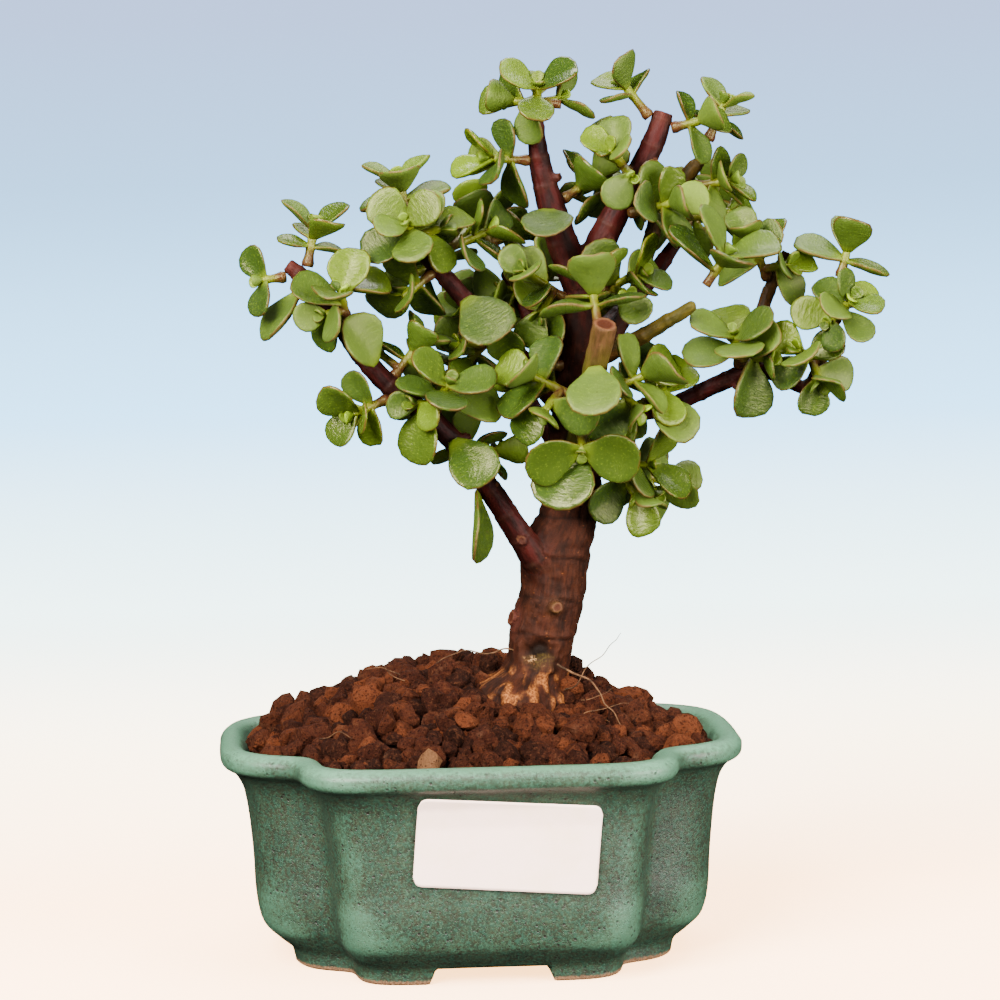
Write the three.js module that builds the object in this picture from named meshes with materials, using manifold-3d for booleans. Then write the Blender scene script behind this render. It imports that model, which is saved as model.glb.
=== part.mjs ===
// A dwarf jade (Portulacaria afra) grown as a small bonsai in a glazed, four-lobed ceramic pot.
//
// Millimetres, +Z up. The pot stands on its four feet at Z = 0 with its long panels facing -Y and +Y.
// The group is moved at the end so that its origin lies under the middle of the whole tree and pot.
//
// Pieces: the pot, its drain screen, a blank paper label, the granular soil, the wood (trunk, limbs and
// pruned stubs, grown as one piece) and the green shoots. Each shoot is one body: its stem with its leaves.
// Leaves stand in opposite pairs, each pair turned a quarter turn from the pair below it.

import * as THREE from "three";
import { mergeVertices } from "three/addons/utils/BufferGeometryUtils.js";
import Module from "manifold-3d";

const wasm = await Module();
wasm.setup();

// ---------------------------------------------------------------- driving dimensions

const GAP = 0.3; // clearance between touching pieces

const POT = {
  halfLong: 74, // side lobes, along X
  halfLobe: 44.5, // side lobes, along Y
  halfPanel: 52.8, // front and back panels, along X
  halfDeep: 65, // front and back panels, along Y
  notchFade: 10, // beyond this inset the notches soften
  columnsToNotch: 5, // facets from the end of the pot to a notch
  columnsToFront: 5, // facets from a notch to the middle of a panel
};
const LOBE_POWER = 4; // how square the side lobes are
const PANEL_POWER = 7; // how square the panels are
const NOTCH_POWER = 24; // how sharp the notches between them are

// [inset from the rim's outline, height], up the outside and then down the inside
const POT_OUTSIDE = [
  [20, 0], [19.6, 3.6], [15, 8], [11.2, 12], [9.5, 19], [9, 29], [7.3, 46], [6, 51.6],
  [3.6, 55.6], [0.5, 57.9], [0, 60.9], [2.2, 63],
];
const POT_INSIDE = [[4.4, 63], [7.2, 60.4], [11.8, 46], [14.6, 13], [19, 9.5]];

const FEET = { inner: 29, height: 4.8, frontGap: 17.5, sideGap: 12.5, slope: 2.4 };
const DRAIN = { radius: 7, screen: 11, thick: 1, sides: 12 };
const LABEL = { width: 50, height: 25, corner: 2.6, thick: 0.6, x: 3.9, z: 40.8, turn: -4.4 };

const SOIL = {
  edge: 58.6, // height at the wall
  mound: 21, // and how much higher at the middle
  middle: [-3, 6],
  fall: 1.2,
  cell: 6, // spacing of the grains
  stray: 0.5, // share of a cell that a grain may lie off its grid
  grain: 1.4,
  hollow: { deep: 11, wide: 15, long: 10, ahead: 15 }, // before the trunk's foot
};

const LEAF = {
  width: 0.86, // greatest width over length
  tip: 1, // where its blunt end lies along its length
  thick: 2.4, // at the middle; the rim is sharp
  cup: 0.3, // rise of the sides, over the width
  droop: 0.1, // fall of the tip, over the length
  clear: 2.7, // least distance between the middle sheets of two leaves
  near: 2, // and between two of one shoot
  root: 0.2, // share of its length that may meet its own shoot
  seek: 0.55, // how far, on average, a leaf's upper face turns to the light
  spread: 0.2, // and how far its length turns square to it
  uneven: 0.26, // chance in its length
};
const LIGHT = { outward: 0.9, up: 0.75, back: 8 }; // a leaf beyond `back` along Y is lit from behind the tree

// ---------------------------------------------------------------- the wood
// Each limb is a list of points [x, y, z, radius] on a smooth curve, from its foot to its pruned end.

const WOOD = {
  trunk: [
    [13, 3, 48, 8], [14, 3, 60, 10.4], [14.6, 3, 68, 11], [15.4, 3, 75.5, 9.5], [17.4, 3, 81, 9.1],
    [19.4, 2.5, 92, 9.6], [22.2, 2, 102.6, 9.3], [22.9, 2, 113, 9.8], [27.2, 1.5, 124.5, 8.3],
    [29.3, 1.5, 146, 8], [30.2, 1.5, 163, 6.4], [30.8, 1, 180, 5.3], [30.8, 0, 192, 4.8],
  ],
  knob: [[15, 1, 94, 2.6], [9.6, -0.5, 95.3, 2.2]],
  pruned_twig: [[21, -4, 98, 1.9], [22.3, -10.6, 99, 1.7]],
  left_fork: [
    [30.8, 0, 187, 4.2], [26.5, -0.5, 200, 4.5], [22.6, -1, 213, 3.9], [20, -1.5, 223, 3.2], [18.8, -2, 231, 2.6],
    [18.3, -2.5, 238, 2.4],
  ],
  right_fork: [
    [31, 0, 188, 4.2], [35.5, -1, 199, 4.3], [41, -2, 209.5, 3.8], [46.6, -2, 219, 3.5], [52.2, -2, 230, 3.3],
    [55, -2, 238, 2.7],
  ],
  left_branch: [
    [22, 0, 107, 4.6], [17.5, -3, 111.5, 4.4], [11.5, -6, 120.5, 3.6], [3.7, -9, 133, 3.3], [-5.7, -12, 146, 3.1],
    [-13.4, -14, 154, 3], [-22.6, -15, 161.3, 3], [-32.2, -15, 172, 2.8], [-39, -14, 183.3, 2.8],
    [-46.5, -13, 192.2, 2.7], [-52, -13, 197, 1.9],
  ],
  upper_left_branch: [
    [29, 1, 152, 4], [18.5, 1, 163.3, 3.4], [10.5, -1, 172.5, 2.9], [4.3, -3, 179.2, 2.7], [-3.5, -4, 187.8, 2.6],
    [-9.8, -5, 195, 2.5], [-14, -6, 200, 2.3], [-17.5, -6, 204, 1.8],
  ],
  rear_left_branch: [
    [30, 3, 158, 3.2], [22, 9, 172, 2.8], [15.5, 13, 184, 2.3], [10.5, 16, 194, 1.8],
  ],
  front_stem: [
    [28, -2, 140, 4], [28.6, -9, 144.5, 3.6], [29.3, -15, 151, 3.4], [31.3, -22, 162, 3.4], [33, -29, 172, 3.4],
    [34.3, -34, 180, 3.4],
  ],
  rear_right_branch: [
    [31, 3, 166, 3.6], [38, 7, 172, 3], [46, 11, 182, 2.3], [51, 12, 196, 2.2], [54.5, 11, 208, 2.4],
    [59, 9, 215, 2.6], [63.5, 7, 221, 2.3], [67, 6, 225, 1.6],
  ],
  back_branch: [
    [31, 3, 170, 3.6], [42, 14, 179, 3], [54, 22, 191, 2.6], [62, 27, 201, 2],
  ],
  red_stem: [
    [31, -2, 166, 3], [38, -8, 170.5, 2.6], [46, -14, 175, 2.3], [54, -19, 180, 2], [61, -23, 184.5, 1.7],
  ],
  right_branch: [
    [30, 1, 146, 3.8], [36, 0, 149.5, 3.2], [43, -2, 152.7, 2.7], [54, -5, 154.5, 2.5], [68, -9, 161, 2.5],
    [79.5, -11, 165.3, 2.5], [90, -13, 161, 2], [95.5, -14, 158, 1.8],
  ],
  right_tip: [
    [93, -13.5, 159.3, 1.7], [96.8, -14, 166, 1.8], [98.5, -14, 172, 1.7], [100.3, -14, 179, 1.6],
    [101.6, -14, 186, 1.4],
  ],
  right_riser: [
    [79, -11, 165, 2.3], [79.5, -9, 172, 2.2], [81.3, -7, 180, 2], [84, -6, 187.5, 1.9], [89.5, -5, 198, 1.8],
  ],
  low_right_branch: [
    [29, 3, 134, 3.4], [36, 9, 139, 2.4], [42, 13, 140, 2], [47, 14, 137, 1.6],
  ],
  low_back_branch: [
    [28, 4, 138, 3.4], [22, 15, 148, 2.8], [15, 24, 160, 2.2], [11, 30, 172, 1.7],
  ],
};
const WOOD_SIDES = { trunk: 12, limb: 8 };

// ---------------------------------------------------------------- the shoots
// [limb, place along the limb's points, [x, y, z] of the stem up to its last leaves, pairs of leaves,
//  [x, y, z] towards which the first leaf leans, length of the first leaves, length of the last].
// A shoot with no pairs is a single leaf straight from the wood: it grows along the first vector, and the second
// is the way its upper face looks. A fork grows from the stem of the last shoot that isn't one, at that share of
// its length, and is one body with it.

const SHOOTS = [
  ["left_branch", 6.1, [-0.45, -0.45, 0.75], 0, [0.15, -0.8, 0.5], 17, 0],
  ["left_branch", 9.1, [1.5, 0, 7.5], 3, [1, 0.3, 0], 9, 13],
  ["left_branch", 9.35, [-4.5, -1, -0.5], 1, [-0.2, 0.3, 1], 11.5, 11.5],
  ["left_branch", 9.0, [-0.64, -0.2, -0.74], 0, [-0.7, -0.4, 0.6], 17.5, 0],
  ["left_branch", 8.9, [0.97, -0.1, 0], 0, [0, -0.45, 0.9], 17.5, 0],
  ["left_branch", 7.4, [-1, -3, 5.5], 2, [0.9, -0.3, 0.2], 14, 13],
  ["fork", 0.2, [-4, -3.5, -0.5], 2, [0.2, -0.3, 1], 13, 12],
  ["left_branch", 6.2, [6.5, 3, 8], 3, [1, 0, -0.3], 12, 11],
  ["fork", 0.2, [-5, 5, 4], 2, [1, 0, 0.5], 12, 11],
  ["left_branch", 5.9, [-8, -4, -3], 3, [0, 0.2, 1], 12.5, 12],
  ["left_branch", 4.9, [2.5, -5, 6], 3, [0.9, 0, -0.4], 16, 13],
  ["fork", 0.2, [-5.5, -4, 0.5], 2, [0, -0.2, 1], 16, 12],
  ["left_branch", 4.6, [0.55, -0.6, -0.6], 0, [0, -0.9, 0.4], 17, 0],
  ["left_branch", 5.0, [1.5, 10, 4], 3, [1, 0, 0.6], 13, 11],
  ["fork", 0.2, [7, 4, 5], 2, [0.5, 0, -1], 13, 11],
  ["left_branch", 3.3, [-1.5, 5, 5], 3, [1, 0.5, 0.6], 11, 11],
  ["fork", 0.2, [6, 3, 1], 2, [0, 0.3, 1], 11, 10],
  ["left_branch", 3.5, [0.12, -0.3, -0.95], 0, [0.95, -0.25, 0.1], 21, 0],
  ["upper_left_branch", 6.6, [-1.5, 0.5, 6.5], 3, [-0.9, 0, -0.3], 13, 12.5],
  ["upper_left_branch", 6.0, [-2.5, -6, 4], 3, [-0.9, 0, -0.5], 13.5, 12],
  ["fork", 0.2, [6, -3.5, 2.5], 2, [0.2, 0, 1], 14, 12],
  ["upper_left_branch", 5.6, [13, 1, 5.5], 3, [0, -1, -0.5], 13, 12],
  ["fork", 0.3, [4, 8, 4], 2, [1, 0, -0.5], 13, 11],
  ["upper_left_branch", 5.0, [-6, -3, -4.5], 3, [-0.5, 0, -1], 13.5, 14],
  ["upper_left_branch", 4.2, [0.45, -0.65, -0.5], 0, [-0.1, -0.9, 0.4], 19, 0],
  ["upper_left_branch", 4.6, [-2, 10, 6], 3, [1, 0, -0.3], 13, 11],
  ["fork", 0.2, [-7, 4, -2], 2, [0, 0, 1], 12, 11],
  ["upper_left_branch", 2.6, [-7, 4, -7], 3, [1, 0, -0.3], 13, 12],
  ["fork", 0.2, [-6, -4, 1], 2, [0.2, 0, 1], 13, 11],
  ["rear_left_branch", 2.9, [-3, 4, 7], 4, [1, 0, 0.3], 14, 12],
  ["fork", 0.2, [8, 2, 3], 2, [0, -0.9, 0.6], 13, 12],
  ["rear_left_branch", 2.2, [7, -6, 5], 3, [0.6, 0, -1], 14, 13],
  ["fork", 0.2, [-7, -3, 0], 2, [0, -0.3, 1], 13, 12],
  ["front_stem", 4.3, [-1, 6, 11], 3, [-1, 0.2, 0.15], 15, 15],
  ["front_stem", 2.6, [-11, -2, 5.5], 3, [0, -1, 0.2], 14, 15],
  ["fork", 0.3, [-5, -6, -5], 2, [0.9, 0, -0.3], 14, 12],
  ["front_stem", 2.7, [10, -2, 4], 3, [0, -1, 0.2], 14, 15],
  ["fork", 0.25, [5, -4, -5], 2, [0.8, 0, 0.8], 14, 12],
  ["front_stem", 3.9, [-0.3, -0.65, -0.65], 0, [-0.2, -0.65, 0.7], 18, 0],
  ["front_stem", 1.7, [-0.3, -0.5, -0.85], 0, [-0.15, -0.85, 0.5], 20.5, 0],
  ["front_stem", 2.1, [-0.5, -3.5, -4], 1, [1, 0, 0], 16, 16],
  ["red_stem", 3.8, [4, -1, 6], 3, [-0.9, -0.1, 0.3], 18, 15],
  ["fork", 0.15, [0.95, -0.2, -0.1], 0, [0, -0.5, 0.85], 19, 0],
  ["fork", 0.1, [-0.5, -0.7, -0.5], 0, [0, -0.6, 0.8], 18, 0],
  ["trunk", 11.2, [-10, -7, 7], 3, [-0.5, 0.8, 0.5], 14, 12],
  ["fork", 0.25, [-4, -6, -5], 2, [-1, 0, 0.8], 13, 12],
  ["trunk", 10.2, [-11, -6, 1], 3, [-0.3, 0, -1], 14, 12],
  ["trunk", 8.6, [12, -6, 1], 3, [0.3, 0, -1], 14, 13],
  ["fork", 0.25, [5, -6, -7], 2, [1, 0, 0], 14, 12],
  ["trunk", 11.4, [10, -7, 5], 3, [0.6, 0, -0.7], 14, 12],
  ["fork", 0.25, [3, -9, -1], 2, [1, 0, 0.5], 13, 12],
  ["trunk", 10.8, [3, 16, 4], 4, [1, 0, 0.3], 15, 12],
  ["fork", 0.3, [-9, 9, 4], 2, [0, -0.3, 1], 14, 12],
  ["fork", 0.3, [8, 9, 4], 2, [0, -0.3, 1], 14, 12],
  ["low_back_branch", 2.9, [-3, 6, 4], 4, [1, 0, 0.3], 15, 12],
  ["fork", 0.2, [-7, -2, 5], 2, [0, 0, 1], 13, 12],
  ["left_fork", 4.4, [0, -3.5, 4.5], 2, [0.1, 0.5, 0.9], 12.5, 12.5],
  ["fork", 0.2, [-6, 1, 0.5], 2, [0.2, 0.5, 1], 11.5, 10],
  ["fork", 0.2, [6, 2, 1], 1, [0, 0.6, 1], 12, 12],
  ["left_fork", 3.2, [-8, -1, 0.5], 3, [0, 0.2, -1], 13, 12.5],
  ["left_fork", 2.1, [-0.1, -0.8, -0.5], 0, [-0.05, -0.7, 0.7], 17, 0],
  ["left_fork", 1.9, [8, 2, 5], 3, [0.3, -1, 0.6], 14, 12],
  ["fork", 0.25, [4, 6, -2], 2, [0.5, 0, 1], 13, 12],
  ["right_fork", 4.4, [-5.5, 0, 7], 3, [0.6, -0.9, 0.4], 9, 12],
  ["right_fork", 4.3, [6.5, -1.5, 1.5], 2, [0.2, 0, 1], 11, 11],
  ["right_fork", 3.0, [-5, -6, 5], 3, [-1, 0, 0.4], 13, 12],
  ["fork", 0.25, [1, -7, -2], 2, [-0.4, 0, 1], 13, 11],
  ["right_fork", 1.9, [8, -6, 2], 4, [0.3, -0.2, 1], 13.5, 12],
  ["right_fork", 2.4, [-5, 9, 3], 4, [1, 0, 0.3], 13, 11],
  ["fork", 0.2, [8, 4, -1], 2, [0.2, 0.3, 1], 12, 11],
  ["rear_right_branch", 6.7, [3, -0.5, 7], 3, [0.9, -0.4, 0], 10, 10.5],
  ["rear_right_branch", 5.2, [7, -3, 1], 3, [0, 0.2, 1], 11, 10.5],
  ["rear_right_branch", 3.9, [16, -3, 2], 4, [0.2, -0.4, 1], 13, 13],
  ["back_branch", 2.9, [5, 4, 7], 4, [1, -0.3, 0], 13, 11],
  ["fork", 0.2, [-6, -4, 3], 2, [0, 0, 1], 13, 11],
  ["right_tip", 3.9, [1, 0, 4], 2, [1, -0.2, 0], 14.5, 13],
  ["right_tip", 2.7, [1.5, -4, 3], 3, [0.6, -0.2, -0.8], 12.5, 11.5],
  ["fork", 0.2, [-3, -4, -1], 1, [-0.6, 0, 0.8], 12, 12],
  ["right_tip", 1.0, [-4, -4, 3], 2, [-0.7, 0, -0.7], 14, 13],
  ["fork", 0.2, [0.5, -5, -4.5], 2, [0.9, 0, -0.2], 13, 12],
  ["right_branch", 4.6, [-2, -5, 8], 3, [-1, 0, 0], 16.5, 14],
  ["fork", 0.2, [6, -6, 0.5], 2, [0, -0.2, 1], 16, 13],
  ["right_branch", 2.3, [4, -8, 5], 3, [0.4, 0, -1], 16, 14],
  ["fork", 0.2, [-5, -8, -1], 2, [-0.3, 0, 1], 15, 13],
  ["right_riser", 3.1, [-4, -4, 8], 4, [-1, -0.2, 0.2], 13, 11],
  ["fork", 0.2, [5, -5, 1], 2, [0, 0, 1], 12, 11],
  ["low_right_branch", 2.9, [4, -7, -5], 3, [1, 0, 0.3], 14, 13],
  ["fork", 0.25, [6, 3, -2], 2, [0.2, 0.8, 0.6], 13, 12],
];
const STEM = {
  radius: 1.1, // half the side of its square section
  growth: 0.016, // and how much thicker a long one is, over its length
  bare: 0.25, // share of its length below the first leaves
  step: 2.3, // least distance between pairs
  node: 1.1, // height of a leaf's root on the stem
  pitch: [80, 46], // degrees that the first and the last leaves lean from the stem
  stray: [18, 24], // degrees of chance in that lean, and in each pair's turn about the stem
  bud: 1.4, // the pointed tip
};

// ---------------------------------------------------------------- finishes

const FINISH = {
  glaze: { color: 0x3f8069, roughness: 0.4, metalness: 0 },
  paper: { color: 0xf2f3f4, roughness: 0.55, metalness: 0 },
  mesh_screen: { color: 0x23262a, roughness: 0.6, metalness: 0 },
  akadama: { color: 0x6b3521, roughness: 0.95, metalness: 0 },
  bark: { color: 0x5e3429, roughness: 0.7, metalness: 0 },
  leaf: { color: 0x6f9c3c, roughness: 0.35, metalness: 0 },
};

const bonsai = new THREE.Group();

function addPiece(name, geometry, finish) {
  const piece = new THREE.Mesh(geometry, new THREE.MeshStandardMaterial(FINISH[finish]));
  piece.name = name;
  bonsai.add(piece);
}

// ---------------------------------------------------------------- solids

// A closed surface from points and triangles, turned the right way out.
function closedGeometry(points, triangles) {
  let volume = 0;
  for (const [a, b, c] of triangles) {
    volume += points[a].dot(new THREE.Vector3().crossVectors(points[b], points[c]));
  }
  const order = volume > 0 ? triangles : triangles.map(([a, b, c]) => [a, c, b]);
  const geometry = new THREE.BufferGeometry();
  geometry.setAttribute("position", new THREE.Float32BufferAttribute(points.flatMap((p) => p.toArray()), 3));
  geometry.setIndex(order.flat());
  return geometry;
}

const EAST = new THREE.Vector3(1, 0, 0);
const NORTH = new THREE.Vector3(0, 1, 0);

// Points round a circle in the plane of two square directions.
function ringAround(middle, side, other, radius, sides) {
  return Array.from({ length: sides }, (_, i) => {
    const angle = (2 * Math.PI * i) / sides;
    const point = middle.clone().addScaledVector(side, radius * Math.cos(angle));
    return point.addScaledVector(other, radius * Math.sin(angle));
  });
}

// A skin over rings of equal length, closed at both ends by a fan to the ring's middle.
function loft(rings) {
  const count = rings[0].length;
  const points = rings.flat();
  const triangles = [];
  for (let ring = 0; ring + 1 < rings.length; ring++) {
    for (let i = 0; i < count; i++) {
      const a = ring * count + i;
      const b = ring * count + ((i + 1) % count);
      triangles.push([a, b, b + count], [a, b + count, a + count]);
    }
  }
  [0, rings.length - 1].forEach((ring, end) => {
    const middle = new THREE.Vector3();
    rings[ring].forEach((p) => middle.addScaledVector(p, 1 / count));
    points.push(middle);
    for (let i = 0; i < count; i++) {
      const a = ring * count + i;
      const b = ring * count + ((i + 1) % count);
      triangles.push(end ? [a, b, points.length - 1] : [b, a, points.length - 1]);
    }
  });
  return closedGeometry(points, triangles);
}

function toManifold(geometry) {
  const bare = geometry.clone();
  bare.deleteAttribute("normal");
  bare.deleteAttribute("uv");
  const merged = mergeVertices(bare, 1e-4);
  return new wasm.Manifold(new wasm.Mesh({
    numProp: 3,
    vertProperties: Float32Array.from(merged.attributes.position.array),
    triVerts: Uint32Array.from(merged.index.array),
  }));
}

function fromManifold(solid) {
  const mesh = solid.getMesh();
  const geometry = new THREE.BufferGeometry();
  geometry.setAttribute("position", new THREE.BufferAttribute(Float32Array.from(mesh.vertProperties), 3));
  geometry.setIndex(Array.from(mesh.triVerts));
  return geometry;
}

// A square slab and a round bar standing on the middle of the pot.
function slab(half, lowZ, highZ) {
  return new THREE.BoxGeometry(2 * half, 2 * half, highZ - lowZ).translate(0, 0, (lowZ + highZ) / 2);
}

function cylinder(radius, sides, lowZ, highZ) {
  const geometry = new THREE.CylinderGeometry(radius, radius, highZ - lowZ, sides);
  return geometry.rotateX(Math.PI / 2).translate(0, 0, (lowZ + highZ) / 2);
}

// The same draw from 0 to 1 for the same whole number, whatever was drawn before it.
function draw(number) {
  let n = Math.imul(number ^ 0x9e3779b9, 0x85ebca6b);
  n = Math.imul(n ^ (n >>> 13), 0xc2b2ae35);
  return ((n ^ (n >>> 16)) >>> 0) / 4294967296;
}

// ---------------------------------------------------------------- the pot

function lobeRadius(angle, halfX, halfY, power) {
  const x = Math.abs(Math.cos(angle)) / halfX;
  const y = Math.abs(Math.sin(angle)) / halfY;
  return 1 / Math.pow(Math.pow(x, power) + Math.pow(y, power), 1 / power);
}

// How far a lobe's short half draws in: less than its long one below the wall, so the feet are fuller.
const shortInset = (inset) => Math.min(inset, (inset + POT.notchFade) / 2);

function sideLobe(angle, inset) {
  return lobeRadius(angle, POT.halfLong - inset, POT.halfLobe - shortInset(inset), LOBE_POWER);
}

function panelLobe(angle, inset) {
  return lobeRadius(angle, POT.halfPanel - shortInset(inset), POT.halfDeep - inset, PANEL_POWER);
}

// The pot's plan: the larger of a long lobe and a deep lobe, with a soft notch where they meet.
function outlineRadius(angle, inset) {
  const side = Math.pow(sideLobe(angle, inset), NOTCH_POWER);
  const panel = Math.pow(panelLobe(angle, inset), NOTCH_POWER);
  return Math.pow(side + panel, 1 / NOTCH_POWER);
}

// The angle in the first quarter at which the two lobes meet, found by halving.
function notchAngle(inset) {
  let low = 0.2; // the side lobe is the larger here
  let high = 1.4; // and the panel here
  for (let step = 0; step < 40; step++) {
    const middle = (low + high) / 2;
    if (sideLobe(middle, inset) > panelLobe(middle, inset)) low = middle;
    else high = middle;
  }
  return low;
}

// Angles round a quarter of the plan with one on the notch, then mirrored to the whole plan.
function outlineAngles(inset) {
  const notch = notchAngle(inset);
  const quarter = [];
  for (let i = 0; i < POT.columnsToNotch; i++) quarter.push((notch * i) / POT.columnsToNotch);
  for (let i = 0; i < POT.columnsToFront; i++) {
    quarter.push(notch + ((Math.PI / 2 - notch) * i) / POT.columnsToFront);
  }
  const mirrored = quarter.slice(1).reverse();
  return [
    ...quarter, Math.PI / 2, ...mirrored.map((a) => Math.PI - a),
    ...quarter.map((a) => Math.PI + a), Math.PI * 1.5, ...mirrored.map((a) => 2 * Math.PI - a),
  ];
}

function outlineRing(inset, z) {
  return outlineAngles(inset).map((angle) => {
    const radius = outlineRadius(angle, inset);
    return new THREE.Vector3(radius * Math.cos(angle), radius * Math.sin(angle), z);
  });
}

// A bar with sloped sides, to cut the gap between two feet along X or Y.
function footGap(half, alongX) {
  const reach = POT.halfLong * 2;
  const top = FEET.height;
  const shape = new THREE.Shape([
    new THREE.Vector2(-half, -1), new THREE.Vector2(half, -1), new THREE.Vector2(half, 0),
    new THREE.Vector2(half - FEET.slope, top), new THREE.Vector2(FEET.slope - half, top), new THREE.Vector2(-half, 0),
  ]);
  const bar = new THREE.ExtrudeGeometry(shape, { depth: reach, bevelEnabled: false });
  bar.translate(0, 0, -reach / 2);
  bar.rotateX(Math.PI / 2);
  if (alongX) bar.rotateZ(Math.PI / 2);
  return bar;
}

function makePot() {
  let pot = toManifold(loft(POT_OUTSIDE.map(([inset, z]) => outlineRing(inset, z))));
  const above = [POT_INSIDE[0][0], POT_INSIDE[0][1] + 1];
  const cavity = [above, ...POT_INSIDE].map(([inset, z]) => outlineRing(inset, z));
  pot = pot.subtract(toManifold(loft(cavity)));
  const recess = [[FEET.inner, -1], [FEET.inner, 0], [FEET.inner - 1, FEET.height]];
  pot = pot.subtract(toManifold(loft(recess.map(([inset, z]) => outlineRing(inset, z)))));
  pot = pot.subtract(toManifold(footGap(FEET.frontGap, false)));
  pot = pot.subtract(toManifold(footGap(FEET.sideGap, true)));
  pot = pot.subtract(toManifold(cylinder(DRAIN.radius, DRAIN.sides, 0, POT_INSIDE.at(-1)[1] + 1)));
  return fromManifold(pot);
}

// The screen lies on the inside floor over the drain hole.
function makeScreen() {
  const floor = POT_INSIDE.at(-1)[1] + GAP;
  return slab(DRAIN.screen, floor, floor + DRAIN.thick);
}

// The front wall's distance from the middle plane at a place on the panel.
function frontWall(x, z) {
  let row = 1;
  while (POT_OUTSIDE[row][1] < z) row++;
  const [lowInset, lowZ] = POT_OUTSIDE[row - 1];
  const [highInset, highZ] = POT_OUTSIDE[row];
  const inset = lowInset + ((highInset - lowInset) * (z - lowZ)) / (highZ - lowZ);
  const across = Math.pow(Math.abs(x) / (POT.halfPanel - inset), PANEL_POWER);
  return (POT.halfDeep - inset) * Math.pow(1 - across, 1 / PANEL_POWER);
}

// The label bends with the wall: columns of three points, shorter where its corners are rounded.
function makeLabel() {
  const half = LABEL.width / 2;
  const corner = LABEL.corner;
  const columns = [[-half, corner], [-half + corner * 0.3, corner * 0.3], [-half + corner, 0]];
  for (let i = 1; i < 6; i++) columns.push([-half + corner + (i * (LABEL.width - 2 * corner)) / 6, 0]);
  columns.push([half - corner, 0], [half - corner * 0.3, corner * 0.3], [half, corner]);
  const turn = THREE.MathUtils.degToRad(LABEL.turn);
  const rings = columns.map(([along, cut]) => {
    const reach = LABEL.height / 2 - cut;
    const sheet = (up, off) => {
      const x = LABEL.x + along * Math.cos(turn) - up * Math.sin(turn);
      const z = LABEL.z + along * Math.sin(turn) + up * Math.cos(turn);
      return new THREE.Vector3(x, -frontWall(x, z) - off, z);
    };
    const near = [reach, 0, -reach].map((up) => sheet(up, GAP + LABEL.thick));
    const far = [-reach, 0, reach].map((up) => sheet(up, GAP));
    return [...near, ...far];
  });
  return loft(rings);
}

// ---------------------------------------------------------------- the soil

// Height of the mound, without its grains: highest near the trunk, with a hollow before the trunk's foot.
function moundHeight(x, y) {
  const [middleX, middleY] = SOIL.middle;
  const inset = POT_INSIDE[1][0];
  const angle = Math.atan2(y - middleY, x - middleX);
  const out = Math.hypot(x - middleX, y - middleY) / outlineRadius(angle, inset);
  const rise = Math.pow(Math.max(0, 1 - out * out), SOIL.fall);
  const [footX, footY] = WOOD.trunk[2];
  const { deep, wide, long, ahead } = SOIL.hollow;
  const hollow = deep * Math.exp(-Math.pow((x - footX) / wide, 2) - Math.pow((y - footY + ahead) / long, 2));
  return SOIL.edge + SOIL.mound * rise - hollow;
}

// A bed with a grid of grains on top, trimmed to the pot's inside and bored for the root stock.
function makeSoil() {
  const across = Math.ceil((POT.halfLong * 2) / SOIL.cell);
  const deep = Math.ceil((POT.halfDeep * 2) / SOIL.cell);
  const bottom = POT_INSIDE.at(-1)[1];
  const points = [];
  for (let j = 0; j <= deep; j++) {
    for (let i = 0; i <= across; i++) {
      const seed = (j * (across + 1) + i) * 3;
      const x = (i - across / 2 + (j % 2) / 2 + (draw(seed) - 0.5) * SOIL.stray) * SOIL.cell;
      const y = (j - deep / 2 + (draw(seed + 1) - 0.5) * SOIL.stray) * SOIL.cell;
      const grain = (draw(seed + 2) * 2 - 1) * SOIL.grain;
      points.push(new THREE.Vector3(x, y, moundHeight(x, y) + grain));
    }
  }
  const tops = points.length;
  points.push(...points.map((p) => new THREE.Vector3(p.x, p.y, bottom - 5)));
  const triangles = [];
  const cell = (a, b, c, d) => triangles.push([a, b, c], [a, c, d]);
  for (let j = 0; j < deep; j++) {
    for (let i = 0; i < across; i++) {
      const a = j * (across + 1) + i;
      const b = a + across + 1;
      cell(a, a + 1, b + 1, b);
      cell(tops + a, tops + b, tops + b + 1, tops + a + 1);
    }
  }
  const rim = [];
  for (let i = 0; i < across; i++) rim.push(i);
  for (let j = 0; j < deep; j++) rim.push(j * (across + 1) + across);
  for (let i = across; i > 0; i--) rim.push(deep * (across + 1) + i);
  for (let j = deep; j > 0; j--) rim.push(j * (across + 1));
  rim.forEach((a, k) => {
    const b = rim[(k + 1) % rim.length];
    cell(a, tops + a, tops + b, b);
  });
  let soil = toManifold(closedGeometry(points, triangles));
  const inside = POT_INSIDE.map(([inset, z]) => outlineRing(inset + GAP + 0.2, z));
  inside[0].forEach((p) => p.setZ(POT_INSIDE[0][1] + SOIL.mound));
  inside.at(-1).forEach((p) => p.setZ(bottom + GAP + 0.1));
  soil = soil.intersect(toManifold(loft(inside)));
  // The hole follows the root stock, from just below its end to above the mound.
  const level = (x, y, z, radius) => {
    return ringAround(new THREE.Vector3(x, y, z), EAST, NORTH, radius, WOOD_SIDES.trunk);
  };
  const [footX, footY, footZ, footRadius] = WOOD.trunk[0];
  const hole = WOOD.trunk.slice(0, 6).map(([x, y, z, radius]) => level(x, y, z, radius + 4 * GAP));
  hole.unshift(level(footX, footY, footZ - 4 * GAP, footRadius + 4 * GAP));
  soil = soil.subtract(toManifold(loft(hole)));
  soil = soil.subtract(toManifold(slab(DRAIN.screen + GAP, 0, bottom + DRAIN.thick + 2 * GAP)));
  return fromManifold(soil);
}

// ---------------------------------------------------------------- the wood

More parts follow.
